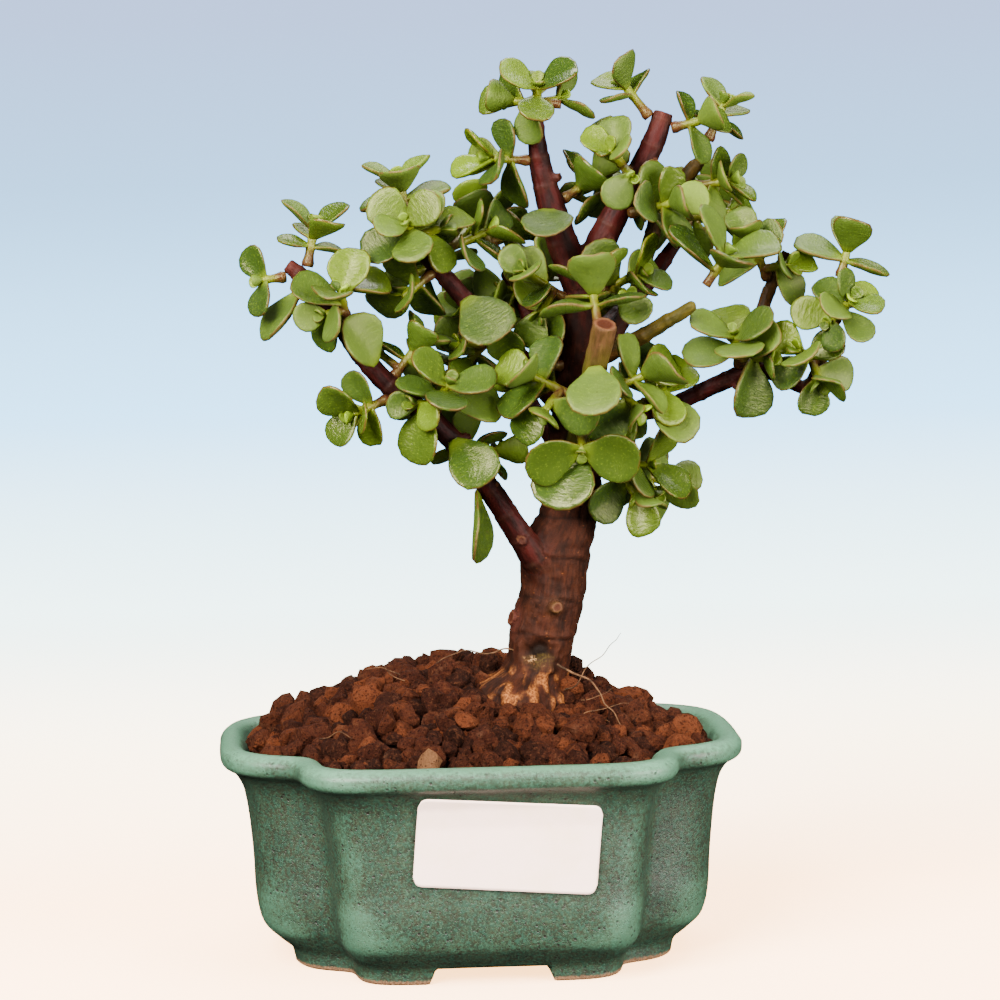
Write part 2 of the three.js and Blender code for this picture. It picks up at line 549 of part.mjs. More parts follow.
const limbCurves = {};
for (const [name, points] of Object.entries(WOOD)) {
  limbCurves[name] = new THREE.CatmullRomCurve3(points.map(([x, y, z]) => new THREE.Vector3(x, y, z)));
}

// Middle, direction and radius of a limb at a place counted along its points.
function limbAt(name, place) {
  const points = WOOD[name];
  const curve = limbCurves[name];
  const at = Math.min(place, points.length - 1);
  const before = Math.min(Math.floor(at), points.length - 2);
  const share = at - before;
  return {
    middle: curve.getPoint(at / (points.length - 1)),
    along: curve.getTangent(at / (points.length - 1)),
    radius: points[before][3] * (1 - share) + points[before + 1][3] * share,
  };
}

// A tapered tube through places along a limb, its rings square to the limb and not twisted.
function makeLimb(name) {
  const sides = WOOD_SIDES[name] ?? WOOD_SIDES.limb;
  let side = new THREE.Vector3(1, 0.3, 0);
  const rings = WOOD[name].map((_, place) => {
    const { middle, along, radius } = limbAt(name, place);
    side = side.clone().addScaledVector(along, -side.dot(along)).normalize();
    const other = new THREE.Vector3().crossVectors(along, side);
    return ringAround(middle, side, other, radius, sides);
  });
  return loft(rings);
}

function makeWood() {
  let wood = toManifold(makeLimb("trunk"));
  for (const name of Object.keys(WOOD).slice(1)) wood = wood.add(toManifold(makeLimb(name)));
  return fromManifold(wood);
}

// Every stretch of wood or stem as a rod: its ends, radius and owner, for keeping leaves clear of it.
const rods = [];
for (const name of Object.keys(WOOD)) {
  for (let place = 0; place + 1 < WOOD[name].length; place++) {
    const low = limbAt(name, place);
    const high = limbAt(name, place + 1);
    rods.push({ from: low.middle, to: high.middle, radius: Math.max(low.radius, high.radius), owner: name });
  }
}

// ---------------------------------------------------------------- the shoots

const degrees = THREE.MathUtils.degToRad;

// Where a stem or leaf of a given half thickness leaves the wood, clear of it by the gap.
function leaveWood(name, place, direction, half) {
  const { middle, along, radius } = limbAt(name, place);
  const lengthwise = Math.abs(direction.dot(along));
  const crosswise = Math.max(Math.sqrt(1 - lengthwise * lengthwise), 0.5);
  return middle.clone().addScaledVector(direction, (radius + GAP + half * lengthwise) / crosswise);
}

// A leaf is its foot, the way it points, the way its upper face looks and its length.
// Nod turns it towards its upper face, swing turns it within its own plane, twist turns it about its length.
function turnedLeaf(leaf, [nod, swing, twist, scale]) {
  const side = new THREE.Vector3().crossVectors(leaf.face, leaf.point);
  const point = leaf.point.clone().applyAxisAngle(side, -degrees(nod)).applyAxisAngle(leaf.face, degrees(swing));
  const face = leaf.face.clone().applyAxisAngle(side, -degrees(nod)).applyAxisAngle(leaf.point, degrees(twist));
  face.addScaledVector(point, -face.dot(point)).normalize();
  return { ...leaf, point, face, length: leaf.length * scale };
}

// A place on a leaf's middle sheet. Along runs from 0 at the foot to 1 at the tip, across from -0.5 to 0.5.
function onLeaf(leaf, along, across, up) {
  const side = new THREE.Vector3().crossVectors(leaf.face, leaf.point);
  const width = leaf.length * LEAF.width;
  const lift = LEAF.cup * across * across * width - LEAF.droop * along * along * leaf.length;
  return leaf.foot.clone()
    .addScaledVector(leaf.point, along * leaf.length)
    .addScaledVector(side, across * width)
    .addScaledVector(leaf.face, lift + up);
}

// Round a leaf's rim from its left shoulder to its right: [along, across].
const LEAF_RIM = [[0.34, -0.38], [0.7, -0.5], [LEAF.tip, -0.26], [LEAF.tip, 0.26], [0.7, 0.5], [0.34, 0.38]];
const LEAF_MIDDLE = 0.58; // where a leaf is thickest

// Places along a leaf with its half width there, as a share of its greatest width, for the clearance tests
const PROBES = [[0.16, 0.1], [0.32, 0.3], [0.48, 0.42], [0.64, 0.46], [0.8, 0.4], [0.98, 0.2]];

function leafProbes(leaf) {
  const probes = [];
  for (const [along, reach] of PROBES) {
    for (const share of [-1, -0.5, 0, 0.5, 1]) probes.push({ along, at: onLeaf(leaf, along, share * reach, 0) });
  }
  return probes;
}

function rodDistance(point, rod) {
  const span = rod.to.clone().sub(rod.from);
  const share = THREE.MathUtils.clamp(point.clone().sub(rod.from).dot(span) / span.lengthSq(), 0, 1);
  return point.distanceTo(rod.from.clone().addScaledVector(span, share));
}

const placedLeaves = [];

// True when a leaf keeps off every rod and every leaf already placed. It may meet its own stem, and the other
// leaves of its shoot, near its foot.
function isClear(leaf) {
  const probes = leafProbes(leaf);
  const free = probes.filter(({ along }) => along > LEAF.root);
  for (const rod of rods) {
    const least = rod.radius + LEAF.thick / 2 + GAP;
    const tested = rod.owner === leaf.owner ? free : probes;
    if (tested.some(({ at }) => rodDistance(at, rod) < least)) return false;
  }
  for (const other of placedLeaves) {
    if (other.foot.distanceTo(leaf.foot) > other.length + leaf.length + LEAF.clear) continue;
    const own = other.owner === leaf.owner;
    const mine = own ? free : probes;
    const theirs = own ? other.probes.filter(({ along }) => along > LEAF.root) : other.probes;
    const least = own ? LEAF.near : LEAF.clear;
    if (mine.some((a) => theirs.some((b) => a.at.distanceTo(b.at) < least))) return false;
  }
  return true;
}

// Turns to try when a leaf would cross another: [nod, swing, twist] in degrees, small ones first.
const TURNS = [
  [0, 0, 0], [10, 0, 0], [-10, 0, 0], [0, 14, 0], [0, -14, 0], [0, 0, 20], [0, 0, -20], [16, 14, 0], [16, -14, 0],
  [-16, 14, 0], [-16, -14, 0], [24, 0, 0], [-24, 0, 0], [0, 28, 20], [0, -28, -20], [0, 28, -20], [0, -28, 20],
  [24, 28, 0], [24, -28, 0], [-24, 28, 0], [-24, -28, 0], [36, 0, 0], [-36, 0, 0], [0, 0, 45], [0, 0, -45],
];
const SCALES = [1, 0.86, 0.74];

function settle(leaf) {
  for (const scale of SCALES) {
    for (const turn of TURNS) {
      const tried = turnedLeaf(leaf, [...turn, scale]);
      if (isClear(tried)) {
        placedLeaves.push({ ...tried, probes: leafProbes(tried) });
        return tried;
      }
    }
  }
  return null;
}

const stems = [];
for (const [limb, place, vector, pairs, lean] of SHOOTS) {
  const main = limb === "fork" ? stems.findLast((stem) => !stem.isFork) : null;
  const along = new THREE.Vector3(...vector);
  const length = Math.max(along.length(), (pairs * STEM.step) / (1 - STEM.bare));
  const radius = STEM.radius + STEM.growth * length;
  along.normalize();
  const half = pairs ? radius * Math.SQRT2 : LEAF.thick / 2;
  const foot = main ? main.foot.clone().lerp(main.tip, place) : leaveWood(limb, place, along, half);
  const first = new THREE.Vector3(...lean);
  first.addScaledVector(along, -first.dot(along)).normalize();
  const tip = foot.clone().addScaledVector(along, length);
  const owner = main ? main.owner : `shoot ${stems.length}`;
  stems.push({ along, foot, tip, length, radius, first, owner, isFork: limb === "fork" });
}
stems.forEach(({ foot, tip, radius, owner }, index) => {
  if (SHOOTS[index][3]) rods.push({ from: foot, to: tip, radius, owner });
});

const pairPlace = (pair, pairs) => STEM.bare + ((1 - STEM.bare) * (pair + 1)) / pairs;

// The leaves that a shoot would bear with nothing in their way.
function wishedLeaves(index) {
  const [, , , pairs, , firstLength, lastLength] = SHOOTS[index];
  const { along, foot, tip, first, owner } = stems[index];
  if (pairs === 0) return [{ foot, point: along, face: first, length: firstLength, owner, pair: 0, way: 0 }];
  const light = new THREE.Vector3(0, foot.y > LIGHT.back ? LIGHT.outward : -LIGHT.outward, LIGHT.up).normalize();
  const leaves = [];
  for (let pair = 0; pair < pairs; pair++) {
    const seed = index * 40 + pair * 8;
    const share = pairs > 1 ? pair / (pairs - 1) : 0.5;
    const length = firstLength + (lastLength - firstLength) * share;
    const turn = degrees(90 * pair + (draw(seed) - 0.5) * STEM.stray[1]);
    const outward = first.clone().applyAxisAngle(along, turn);
    for (const way of [1, -1]) {
      const lean = STEM.pitch[0] + (STEM.pitch[1] - STEM.pitch[0]) * share;
      const pitch = degrees(lean + (draw(seed + 2 + way) - 0.5) * STEM.stray[0]);
      const out = outward.clone().multiplyScalar(way);
      const point = along.clone().multiplyScalar(Math.cos(pitch)).addScaledVector(out, Math.sin(pitch));
      const face = along.clone().multiplyScalar(Math.sin(pitch)).addScaledVector(out, -Math.cos(pitch));
      point.addScaledVector(light, -LEAF.spread * point.dot(light)).normalize();
      face.addScaledVector(light, LEAF.seek * (0.4 + 1.2 * draw(seed + 4 + way)));
      face.addScaledVector(point, -face.dot(point)).normalize();
      leaves.push({
        foot: foot.clone().lerp(tip, pairPlace(pair, pairs)),
        point,
        face,
        length: length * (1 + LEAF.uneven * (draw(seed + 5 + way) - 0.5)),
        owner,
        pair,
        way,
      });
    }
  }
  return leaves;
}

// Adds a leaf to a shoot's skin in place of a four-sided patch: left and right corners below, then above.
function growLeaf(leaf, points, triangles, [leftLow, rightLow, leftHigh, rightHigh]) {
  const rim = LEAF_RIM.map(([along, across]) => points.push(onLeaf(leaf, along, across, 0)) - 1);
  const top = points.push(onLeaf(leaf, LEAF_MIDDLE, 0, LEAF.thick / 2)) - 1;
  const bottom = points.push(onLeaf(leaf, LEAF_MIDDLE, 0, -LEAF.thick / 2)) - 1;
  const above = [leftHigh, ...rim, rightHigh];
  const below = [leftLow, ...rim, rightLow];
  above.forEach((p, i) => triangles.push([p, above[(i + 1) % above.length], top]));
  below.forEach((p, i) => triangles.push([below[(i + 1) % below.length], p, bottom]));
  triangles.push([leftHigh, leftLow, rim[0]], [rightLow, rightHigh, rim.at(-1)]);
}

// A leaf straight from the wood, its root closed by a small flat patch.
function makeSingleLeaf(leaf) {
  const side = new THREE.Vector3().crossVectors(leaf.face, leaf.point);
  const corner = (across, up) => {
    const point = leaf.foot.clone().addScaledVector(side, across * STEM.radius);
    return point.addScaledVector(leaf.face, (up * STEM.node) / 2);
  };
  const points = [corner(-1, -1), corner(1, -1), corner(-1, 1), corner(1, 1)];
  const triangles = [[0, 2, 3], [0, 3, 1]];
  growLeaf(leaf, points, triangles, [0, 1, 2, 3]);
  return closedGeometry(points, triangles);
}

// A square stem with two rings at each pair of leaves. Leaves take the place of two facing patches there.
function makeShoot({ foot, along, length, radius, first }, pairs, leaves) {
  const second = new THREE.Vector3().crossVectors(along, first);
  const points = [];
  const triangles = [];
  const addRing = (at) => {
    for (const [a, b] of [[1, 1], [-1, 1], [-1, -1], [1, -1]]) {
      const point = foot.clone().addScaledVector(along, at);
      points.push(point.addScaledVector(first, a * radius).addScaledVector(second, b * radius));
    }
  };
  const addPatches = (low, pair) => {
    for (let side = 0; side < 4; side++) {
      const next = (side + 1) % 4;
      const leaf = leaves.find((one) => one.pair === pair && (3 + pair + (one.way < 0 ? 2 : 0)) % 4 === side);
      const corners = [low + side, low + next, low + 4 + side, low + 4 + next];
      if (leaf) growLeaf(leaf, points, triangles, corners);
      else triangles.push([corners[0], corners[1], corners[3]], [corners[0], corners[3], corners[2]]);
    }
  };
  const heights = [0];
  for (let pair = 0; pair < pairs; pair++) {
    const at = length * pairPlace(pair, pairs);
    heights.push(at - STEM.node / 2, at + STEM.node / 2);
  }
  heights.forEach(addRing);
  for (let row = 0; row + 1 < heights.length; row++) addPatches(row * 4, row % 2 ? (row - 1) / 2 : -1);
  triangles.push([0, 2, 1], [0, 3, 2]);
  const last = (heights.length - 1) * 4;
  const bud = points.push(foot.clone().addScaledVector(along, heights.at(-1) + STEM.bud)) - 1;
  for (let side = 0; side < 4; side++) triangles.push([last + side, last + ((side + 1) % 4), bud]);
  return closedGeometry(points, triangles);
}

// ---------------------------------------------------------------- assembly

addPiece("pot", makePot(), "glaze");
addPiece("drain_screen", makeScreen(), "mesh_screen");
addPiece("label", makeLabel(), "paper");
addPiece("soil", makeSoil(), "akadama");
addPiece("trunk_and_branches", makeWood(), "bark");

// Main shoots take their room first and forks what is left.
const order = SHOOTS.map((_, index) => index).sort((a, b) => stems[a].isFork - stems[b].isFork);
const shoots = [];
for (const index of order) {
  const leaves = wishedLeaves(index).map(settle).filter(Boolean);
  const pairs = SHOOTS[index][3];
  if (pairs) shoots[index] = makeShoot(stems[index], pairs, leaves);
  else if (leaves.length) shoots[index] = makeSingleLeaf(leaves[0]);
}

const shootCounts = {};
SHOOTS.forEach(([limb], index) => {
  if (stems[index].isFork || !shoots[index]) return;
  const forks = shoots.filter((_, other) => other !== index && stems[other].owner === stems[index].owner);
  let geometry = shoots[index];
  if (forks.length) {
    geometry = fromManifold(forks.reduce((body, fork) => body.add(toManifold(fork)), toManifold(geometry)));
  }
  shootCounts[limb] = (shootCounts[limb] ?? 0) + 1;
  addPiece(`${limb}_shoot_${shootCounts[limb]}`, geometry, "leaf");
});

const bounds = new THREE.Box3().setFromObject(bonsai);
const middle = bounds.getCenter(new THREE.Vector3());
bonsai.children.forEach((piece) => piece.geometry.translate(-middle.x, -middle.y, -bounds.min.z));

export default bonsai;
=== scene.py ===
"""A dwarf jade bonsai in its glazed pot, dressed round its solid model.

Lengths are metres. The tables are in the pot's own frame, whose origin lies on the ground under the middle of the
pot, with the pot's long panels facing -Y and +Y. Leaves and stems are read off the solid shoots.
"""

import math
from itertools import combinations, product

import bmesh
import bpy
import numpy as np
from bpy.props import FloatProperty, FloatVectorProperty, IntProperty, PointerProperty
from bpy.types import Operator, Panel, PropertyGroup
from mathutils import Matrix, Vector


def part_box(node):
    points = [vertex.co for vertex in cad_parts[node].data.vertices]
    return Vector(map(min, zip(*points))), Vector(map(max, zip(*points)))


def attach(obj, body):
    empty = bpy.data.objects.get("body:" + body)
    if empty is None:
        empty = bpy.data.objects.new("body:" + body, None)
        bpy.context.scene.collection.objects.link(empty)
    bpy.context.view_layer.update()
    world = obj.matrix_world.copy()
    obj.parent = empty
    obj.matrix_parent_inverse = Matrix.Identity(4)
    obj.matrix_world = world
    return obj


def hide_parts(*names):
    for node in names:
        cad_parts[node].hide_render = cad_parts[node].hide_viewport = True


bl_info = {
    "name": "Dwarf jade bonsai",
    "version": (1, 0, 0),
    "blender": (4, 5, 0),
    "location": "3D Viewport > Sidebar > Bonsai",
    "description": "Builds a dwarf jade bonsai with fleshy leaves, bark, akadama soil and a glazed pot",
    "category": "Add Mesh",
}

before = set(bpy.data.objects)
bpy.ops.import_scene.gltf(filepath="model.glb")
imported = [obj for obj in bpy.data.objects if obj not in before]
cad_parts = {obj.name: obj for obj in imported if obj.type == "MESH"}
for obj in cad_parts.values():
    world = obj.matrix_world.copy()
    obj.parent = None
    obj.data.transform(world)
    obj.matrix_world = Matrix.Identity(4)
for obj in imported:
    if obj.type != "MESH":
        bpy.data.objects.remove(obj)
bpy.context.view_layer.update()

MM = 0.001
POT_LOW, POT_HIGH = (np.array(corner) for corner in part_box("pot"))
POT_MIDDLE = (POT_LOW + POT_HIGH) / 2 * [1, 1, 0]

# ---------------------------------------------------------------- sizes shared with the solids

POT = {"long": 74 * MM, "lobe": 44.5 * MM, "panel": 52.8 * MM, "deep": 65 * MM, "fade": 10 * MM}
LOBE_POWER, PANEL_POWER, NOTCH_POWER = 4, 7, 24

# [inset from the rim's outline, height] from a foot's outer edge up, over the rim and down to the inside floor
POT_WALL = MM * np.array([
    [20.6, 0], [20, 0.5], [19.7, 2], [19, 4.4], [15, 8], [11.2, 12], [9.5, 19], [9, 29], [7.3, 46], [6, 51.6],
    [3.6, 55.6], [0.5, 57.9], [0, 60.9], [2.2, 63], [4.4, 63], [7.2, 60.4], [11.8, 46], [14.6, 13], [19, 9.5],
])
FOOT = {"inner": 29 * MM, "height": 4.8 * MM, "front_gap": 17.5 * MM, "side_gap": 12.5 * MM, "slope": 2.4 * MM}
SOIL_INSET = POT_WALL[15, 0]  # of the wall just under the lip, where the soil's mound meets it
DRAIN_RADIUS = 7 * MM
STRAND_STEP = 2.4 * MM  # between the strands of the net over the drain hole
BUD = 1.4 * MM  # height of a stem's pointed tip
LABEL = {"width": 50 * MM, "height": 25 * MM, "corner": 2.6 * MM, "x": 3.9 * MM, "z": 40.8 * MM, "turn": -4.4}
SOIL = {"edge": 58.6 * MM, "mound": 21 * MM, "middle": MM * np.array([-3, 6]), "fall": 1.2, "hollow": 11 * MM}
LEAF = {"width": 0.86, "thick": 2.4 * MM, "cup": 0.3, "droop": 0.1, "shoulder": 0.34, "tip": 1.0, "middle": 0.58}
GAP = 0.3 * MM  # between the label or the soil and the pot's wall
CLOSE = MM / 20  # how nearly two measures of a solid agree

# Points [x, y, z, radius] in millimetres on a smooth curve, from a limb's foot to its end
WOOD = {
    "trunk": [
        [13, 3, 48, 8], [14, 3, 60, 10.4], [14.6, 3, 68, 11], [15.4, 3, 75.5, 9.5], [17.4, 3, 81, 9.1],
        [19.4, 2.5, 92, 9.6], [22.2, 2, 102.6, 9.3], [22.9, 2, 113, 9.8], [27.2, 1.5, 124.5, 8.3],
        [29.3, 1.5, 146, 8], [30.2, 1.5, 163, 6.4], [30.8, 1, 180, 5.3], [30.8, 0, 192, 4.8],
    ],
    "knob": [[15, 1, 94, 2.6], [9.6, -0.5, 95.3, 2.2]],
    "pruned_twig": [[21, -4, 98, 1.9], [22.3, -10.6, 99, 1.7]],
    "left_fork": [
        [30.8, 0, 187, 4.2], [26.5, -0.5, 200, 4.5], [22.6, -1, 213, 3.9], [20, -1.5, 223, 3.2],
        [18.8, -2, 231, 2.6], [18.3, -2.5, 238, 2.4],
    ],
    "right_fork": [
        [31, 0, 188, 4.2], [35.5, -1, 199, 4.3], [41, -2, 209.5, 3.8], [46.6, -2, 219, 3.5], [52.2, -2, 230, 3.3],
        [55, -2, 238, 2.7],
    ],
    "left_branch": [
        [22, 0, 107, 4.6], [17.5, -3, 111.5, 4.4], [11.5, -6, 120.5, 3.6], [3.7, -9, 133, 3.3],
        [-5.7, -12, 146, 3.1], [-13.4, -14, 154, 3], [-22.6, -15, 161.3, 3], [-32.2, -15, 172, 2.8],
        [-39, -14, 183.3, 2.8], [-46.5, -13, 192.2, 2.7], [-52, -13, 197, 1.9],
    ],
    "upper_left_branch": [
        [29, 1, 152, 4], [18.5, 1, 163.3, 3.4], [10.5, -1, 172.5, 2.9], [4.3, -3, 179.2, 2.7],
        [-3.5, -4, 187.8, 2.6], [-9.8, -5, 195, 2.5], [-14, -6, 200, 2.3], [-17.5, -6, 204, 1.8],
    ],
    "rear_left_branch": [[30, 3, 158, 3.2], [22, 9, 172, 2.8], [15.5, 13, 184, 2.3], [10.5, 16, 194, 1.8]],
    "front_stem": [
        [28, -2, 140, 4], [28.6, -9, 144.5, 3.6], [29.3, -15, 151, 3.4], [31.3, -22, 162, 3.4],
        [33, -29, 172, 3.4], [34.3, -34, 180, 3.4],
    ],
    "rear_right_branch": [
        [31, 3, 166, 3.6], [38, 7, 172, 3], [46, 11, 182, 2.3], [51, 12, 196, 2.2], [54.5, 11, 208, 2.4],
        [59, 9, 215, 2.6], [63.5, 7, 221, 2.3], [67, 6, 225, 1.6],
    ],
    "back_branch": [[31, 3, 170, 3.6], [42, 14, 179, 3], [54, 22, 191, 2.6], [62, 27, 201, 2]],
    "red_stem": [
        [31, -2, 166, 3], [38, -8, 170.5, 2.6], [46, -14, 175, 2.3], [54, -19, 180, 2], [61, -23, 184.5, 1.7],
    ],
    "right_branch": [
        [30, 1, 146, 3.8], [36, 0, 149.5, 3.2], [43, -2, 152.7, 2.7], [54, -5, 154.5, 2.5], [68, -9, 161, 2.5],
        [79.5, -11, 165.3, 2.5], [90, -13, 161, 2], [95.5, -14, 158, 1.8],
    ],
    "right_tip": [
        [93, -13.5, 159.3, 1.7], [96.8, -14, 166, 1.8], [98.5, -14, 172, 1.7], [100.3, -14, 179, 1.6],
        [101.6, -14, 186, 1.4],
    ],
    "right_riser": [
        [79, -11, 165, 2.3], [79.5, -9, 172, 2.2], [81.3, -7, 180, 2], [84, -6, 187.5, 1.9], [89.5, -5, 198, 1.8],
    ],
    "low_right_branch": [[29, 3, 134, 3.4], [36, 9, 139, 2.4], [42, 13, 140, 2], [47, 14, 137, 1.6]],
    "low_back_branch": [[28, 4, 138, 3.4], [22, 15, 148, 2.8], [15, 24, 160, 2.2], [11, 30, 172, 1.7]],
}
TRUNK_FOOT = MM * np.array(WOOD["trunk"][2][:2])  # where the trunk comes out of the soil
# How far a limb has turned from green skin (0) to bark (1) at its foot and at its end; the rest are 1 all along
YOUTH = {"front_stem": [0.1, 0.3], "red_stem": [1.0, 0.35], "right_tip": [0.8, 0.2], "right_riser": [1.0, 0.7],
         "rear_right_branch": [1.0, 0.7], "pruned_twig": [0.6, 0.4]}

# ---------------------------------------------------------------- colours, from their screen values


def paint(red, green, blue):
    """A colour's linear light from its screen values, 0 to 255: the usual curve, ((v + 0.055) / 1.055) ** 2.4."""
    return tuple(v / 12.92 if v <= 0.04045 else ((v + 0.055) / 1.055) ** 2.4 for v in
                 (red / 255, green / 255, blue / 255))


# ---------------------------------------------------------------- material nodes


class Value:
    """One output of a node. Sums with it make Math nodes."""

    def __init__(self, finish, socket):
        self.finish = finish
        self.socket = socket

    def math(self, operation, *others):
        return self.finish.node("Math", {"operation": operation}, dict(enumerate((self,) + others)))

    def __add__(self, other):
        return self.math("ADD", other)

    def __sub__(self, other):
        return self.math("SUBTRACT", other)

    def __mul__(self, other):
        return self.math("MULTIPLY", other)

    def __pow__(self, other):
        return self.math("POWER", other)

    def __rsub__(self, other):
        return self.finish.node("Math", {"operation": "SUBTRACT"}, {0: other, 1: self})

    __radd__ = __add__

    def rise(self, low, high):
        """0 below low, 1 above high and a smooth step between them; low may be the larger."""
        return self.finish.node("MapRange", {"interpolation_type": "SMOOTHSTEP"},
                                {"Value": self, "From Min": low, "From Max": high})


class Finish:
    """A material of one Principled surface, with its nodes."""

    def __init__(self, name, **sockets):
        self.material = bpy.data.materials.new(name)
        self.material.use_nodes = True
        self.tree = self.material.node_tree
        self.surface = self.tree.nodes["Principled BSDF"]
        self.set(**sockets)

    def feed(self, socket, value):
        if isinstance(value, Value):
            self.tree.links.new(value.socket, socket)
        elif socket.type == "RGBA":
            socket.default_value = (*value[:3], 1)
        else:
            socket.default_value = value

    def node(self, kind, settings=None, inputs=None, output=0):
        """A new node of a kind, its settings made first and then its sockets' values or links."""
        node = self.tree.nodes.new("ShaderNode" + kind)
        for name, value in (settings or {}).items():
            if name == "stops":
                ramp = node.color_ramp.elements
                while len(ramp) < len(value):
                    ramp.new(0.5)
                for element, (position, colour) in zip(ramp, value):
                    element.position = position
                    element.color = (*colour, 1)
            else:
                setattr(node, name, value)
        for name, value in (inputs or {}).items():
            self.feed(node.inputs[name], value)
        return Value(self, node.outputs[output])

    def place(self):
        return self.node("TexCoord", output="Object")

    def attribute(self, name, output="Fac"):
        return self.node("Attribute", {"attribute_name": name}, output=output)

    def noise(self, vector, size, detail=3, roughness=0.55):
        """Cloudy noise from 0 to 1 whose patches are about one size across."""
        return self.node("TexNoise", {}, {"Vector": vector, "Scale": 1 / size, "Detail": detail,
                                          "Roughness": roughness})

    def cells(self, vector, size):
        """Cells about one size across: the distance from the nearest middle, in sizes."""
        return self.node("TexVoronoi", {}, {"Vector": vector, "Scale": 1 / size}, "Distance")

    def stretch(self, vector, scale):
        return self.node("VectorMath", {"operation": "MULTIPLY"}, {0: vector, 1: scale})

    def part(self, vector, axis):
        return self.node("SeparateXYZ", {}, {0: vector}, output=axis)

    def mix(self, share, colour, other):
        """From one colour to the other as the share goes from 0 to 1."""
        return self.node("Mix", {"data_type": "RGBA"}, {0: share, 6: colour, 7: other}, 2)

    def between(self, share, colour, other):
        """The same between two colours given by their screen values."""
        return self.mix(share, paint(*colour), paint(*other))

    def coats(self, base, layers):
        """Colours laid over the base one after another: [share from 0 to 1, a Value or its screen values]."""
        for share, colour in layers:
            base = self.mix(share, base, colour if isinstance(colour, Value) else paint(*colour))
        return base

    def ramp(self, value, stops):
        return self.node("ValToRGB", {"stops": stops}, {0: value})

    def relief(self, height, depth):
        """Bumps as high as a depth where the height goes from 0 to 1."""
        bump = self.node("Bump", {}, {"Height": height, "Distance": depth})
        self.feed(self.surface.inputs["Normal"], bump)

    def set(self, **sockets):
        for socket, value in sockets.items():
            self.feed(self.surface.inputs[socket.replace("_", " ")], value)
        return self.material


# ---------------------------------------------------------------- arrays


def unit(vectors):
    return vectors / np.maximum(np.linalg.norm(vectors, axis=-1, keepdims=True), 1e-12)


def smooth(share):
    """The smooth step 3t^2 - 2t^3 of a share held between 0 and 1."""
    t = np.clip(share, 0, 1)
    return t * t * (3 - 2 * t)


def bell(distance, width):
    """1 at no distance, falling off as exp(-(distance / width)^2)."""
    return np.exp(-(distance / width) ** 2)


def noise(points, size, seed=0):
    """Value noise from -1 to 1: draws on a lattice one size apart, blended by smooth steps along each axis."""
    scaled = points / size
    low = np.floor(scaled)
    share = smooth(scaled - low)
    total = np.zeros(points.shape[:-1])
    for corner in product((0, 1), repeat=3):
        cell = (low + corner).astype(np.int64).astype(np.uint32)
        mixed = cell[..., 0] * np.uint32(374761393) + cell[..., 1] * np.uint32(668265263)
        mixed = mixed + cell[..., 2] * np.uint32(2246822519) + np.uint32(seed * 3266489917 % 2**32)
        mixed = (mixed ^ (mixed >> np.uint32(13))) * np.uint32(1274126177)
        mixed = (mixed ^ (mixed >> np.uint32(15))) * np.uint32(2654435761)
        drawn = (mixed >> np.uint32(8)) / 2.0**24
        total += drawn * np.prod(np.where(corner, share, 1 - share), axis=-1)
    return 2 * total - 1


def rough_noise(points, size, seed=0, octaves=3):
    """Sum of noises, each half the size and half the height of the one before."""
    return sum(noise(points, size / 2**k, seed + 17 * k) / 2**k for k in range(octaves))


def around(angle, radius, height):
    """Points round the pot's middle: [radius cos a, radius sin a, height]."""
    return np.stack([radius * np.cos(angle), radius * np.sin(angle), height + 0 * angle], axis=-1)


def grid_faces(rows, columns, wrap_rows=False, wrap_columns=True):
    """Two triangles for each cell of a grid numbered row by row, whose last row or column may meet the first."""
    row, column = np.meshgrid(np.arange(rows - (not wrap_rows)), np.arange(columns - (not wrap_columns)),
                              indexing="ij")
    below, right = (row + 1) % rows, (column + 1) % columns
    a, b = row * columns + column, row * columns + right
    c, d = below * columns + right, below * columns + column
    return np.stack([a, b, c, a, c, d], axis=-1).reshape(-1, 3)


def capped(rings):
    """A skin over rings of points, closed at each end by a fan to the ring's middle. Rings turn left about their
    way forward. The array may hold many such skins: [..., ring, point, xyz]. Returns points and faces."""
    *many, rows, columns, _ = rings.shape
    poles = rings[..., [0, -1], :, :].mean(axis=-2)
    points = np.concatenate([rings.reshape(*many, rows * columns, 3), poles], axis=-2)
    column = np.arange(columns)
    after = (column + 1) % columns
    first = np.stack([after, column, np.full(columns, rows * columns)], axis=-1)
    start = (rows - 1) * columns
    last = np.stack([start + column, start + after, np.full(columns, rows * columns + 1)], axis=-1)
    faces = np.concatenate([grid_faces(rows, columns), first, last])
    copies = int(np.prod(many)) if many else 1
    step = points.shape[-2]
    faces = (faces + np.arange(copies)[:, None, None] * step).reshape(-1, 3)
    return points.reshape(-1, 3), faces


def joined(parts):
    """Several (points, faces) as one."""
    steps = np.cumsum([0] + [len(points) for points, _ in parts[:-1]])
    return (np.concatenate([points for points, _ in parts]),
            np.concatenate([faces + step for (_, faces), step in zip(parts, steps)]))


def path_axes(path):
    """Along a path at each point, and two directions square to it, from the axis that the path follows least."""
    along = unit(np.gradient(path, axis=0))
    reference = np.eye(3)[np.argmin(np.abs(along).max(axis=0))]
    side = unit(np.cross(reference, along))
    return along, side, np.cross(along, side)


def tube(path, radius, sides):
    """Rings round a path: the middle plus the radius times cos a along one square direction and sin a along the
    other."""
    _, side, other = path_axes(path)
    angle = np.linspace(0, 2 * math.pi, sides, endpoint=False)[:, None]
    radius = np.broadcast_to(radius, len(path))[:, None, None]
    return path[:, None] + radius * (np.cos(angle) * side[:, None] + np.sin(angle) * other[:, None])


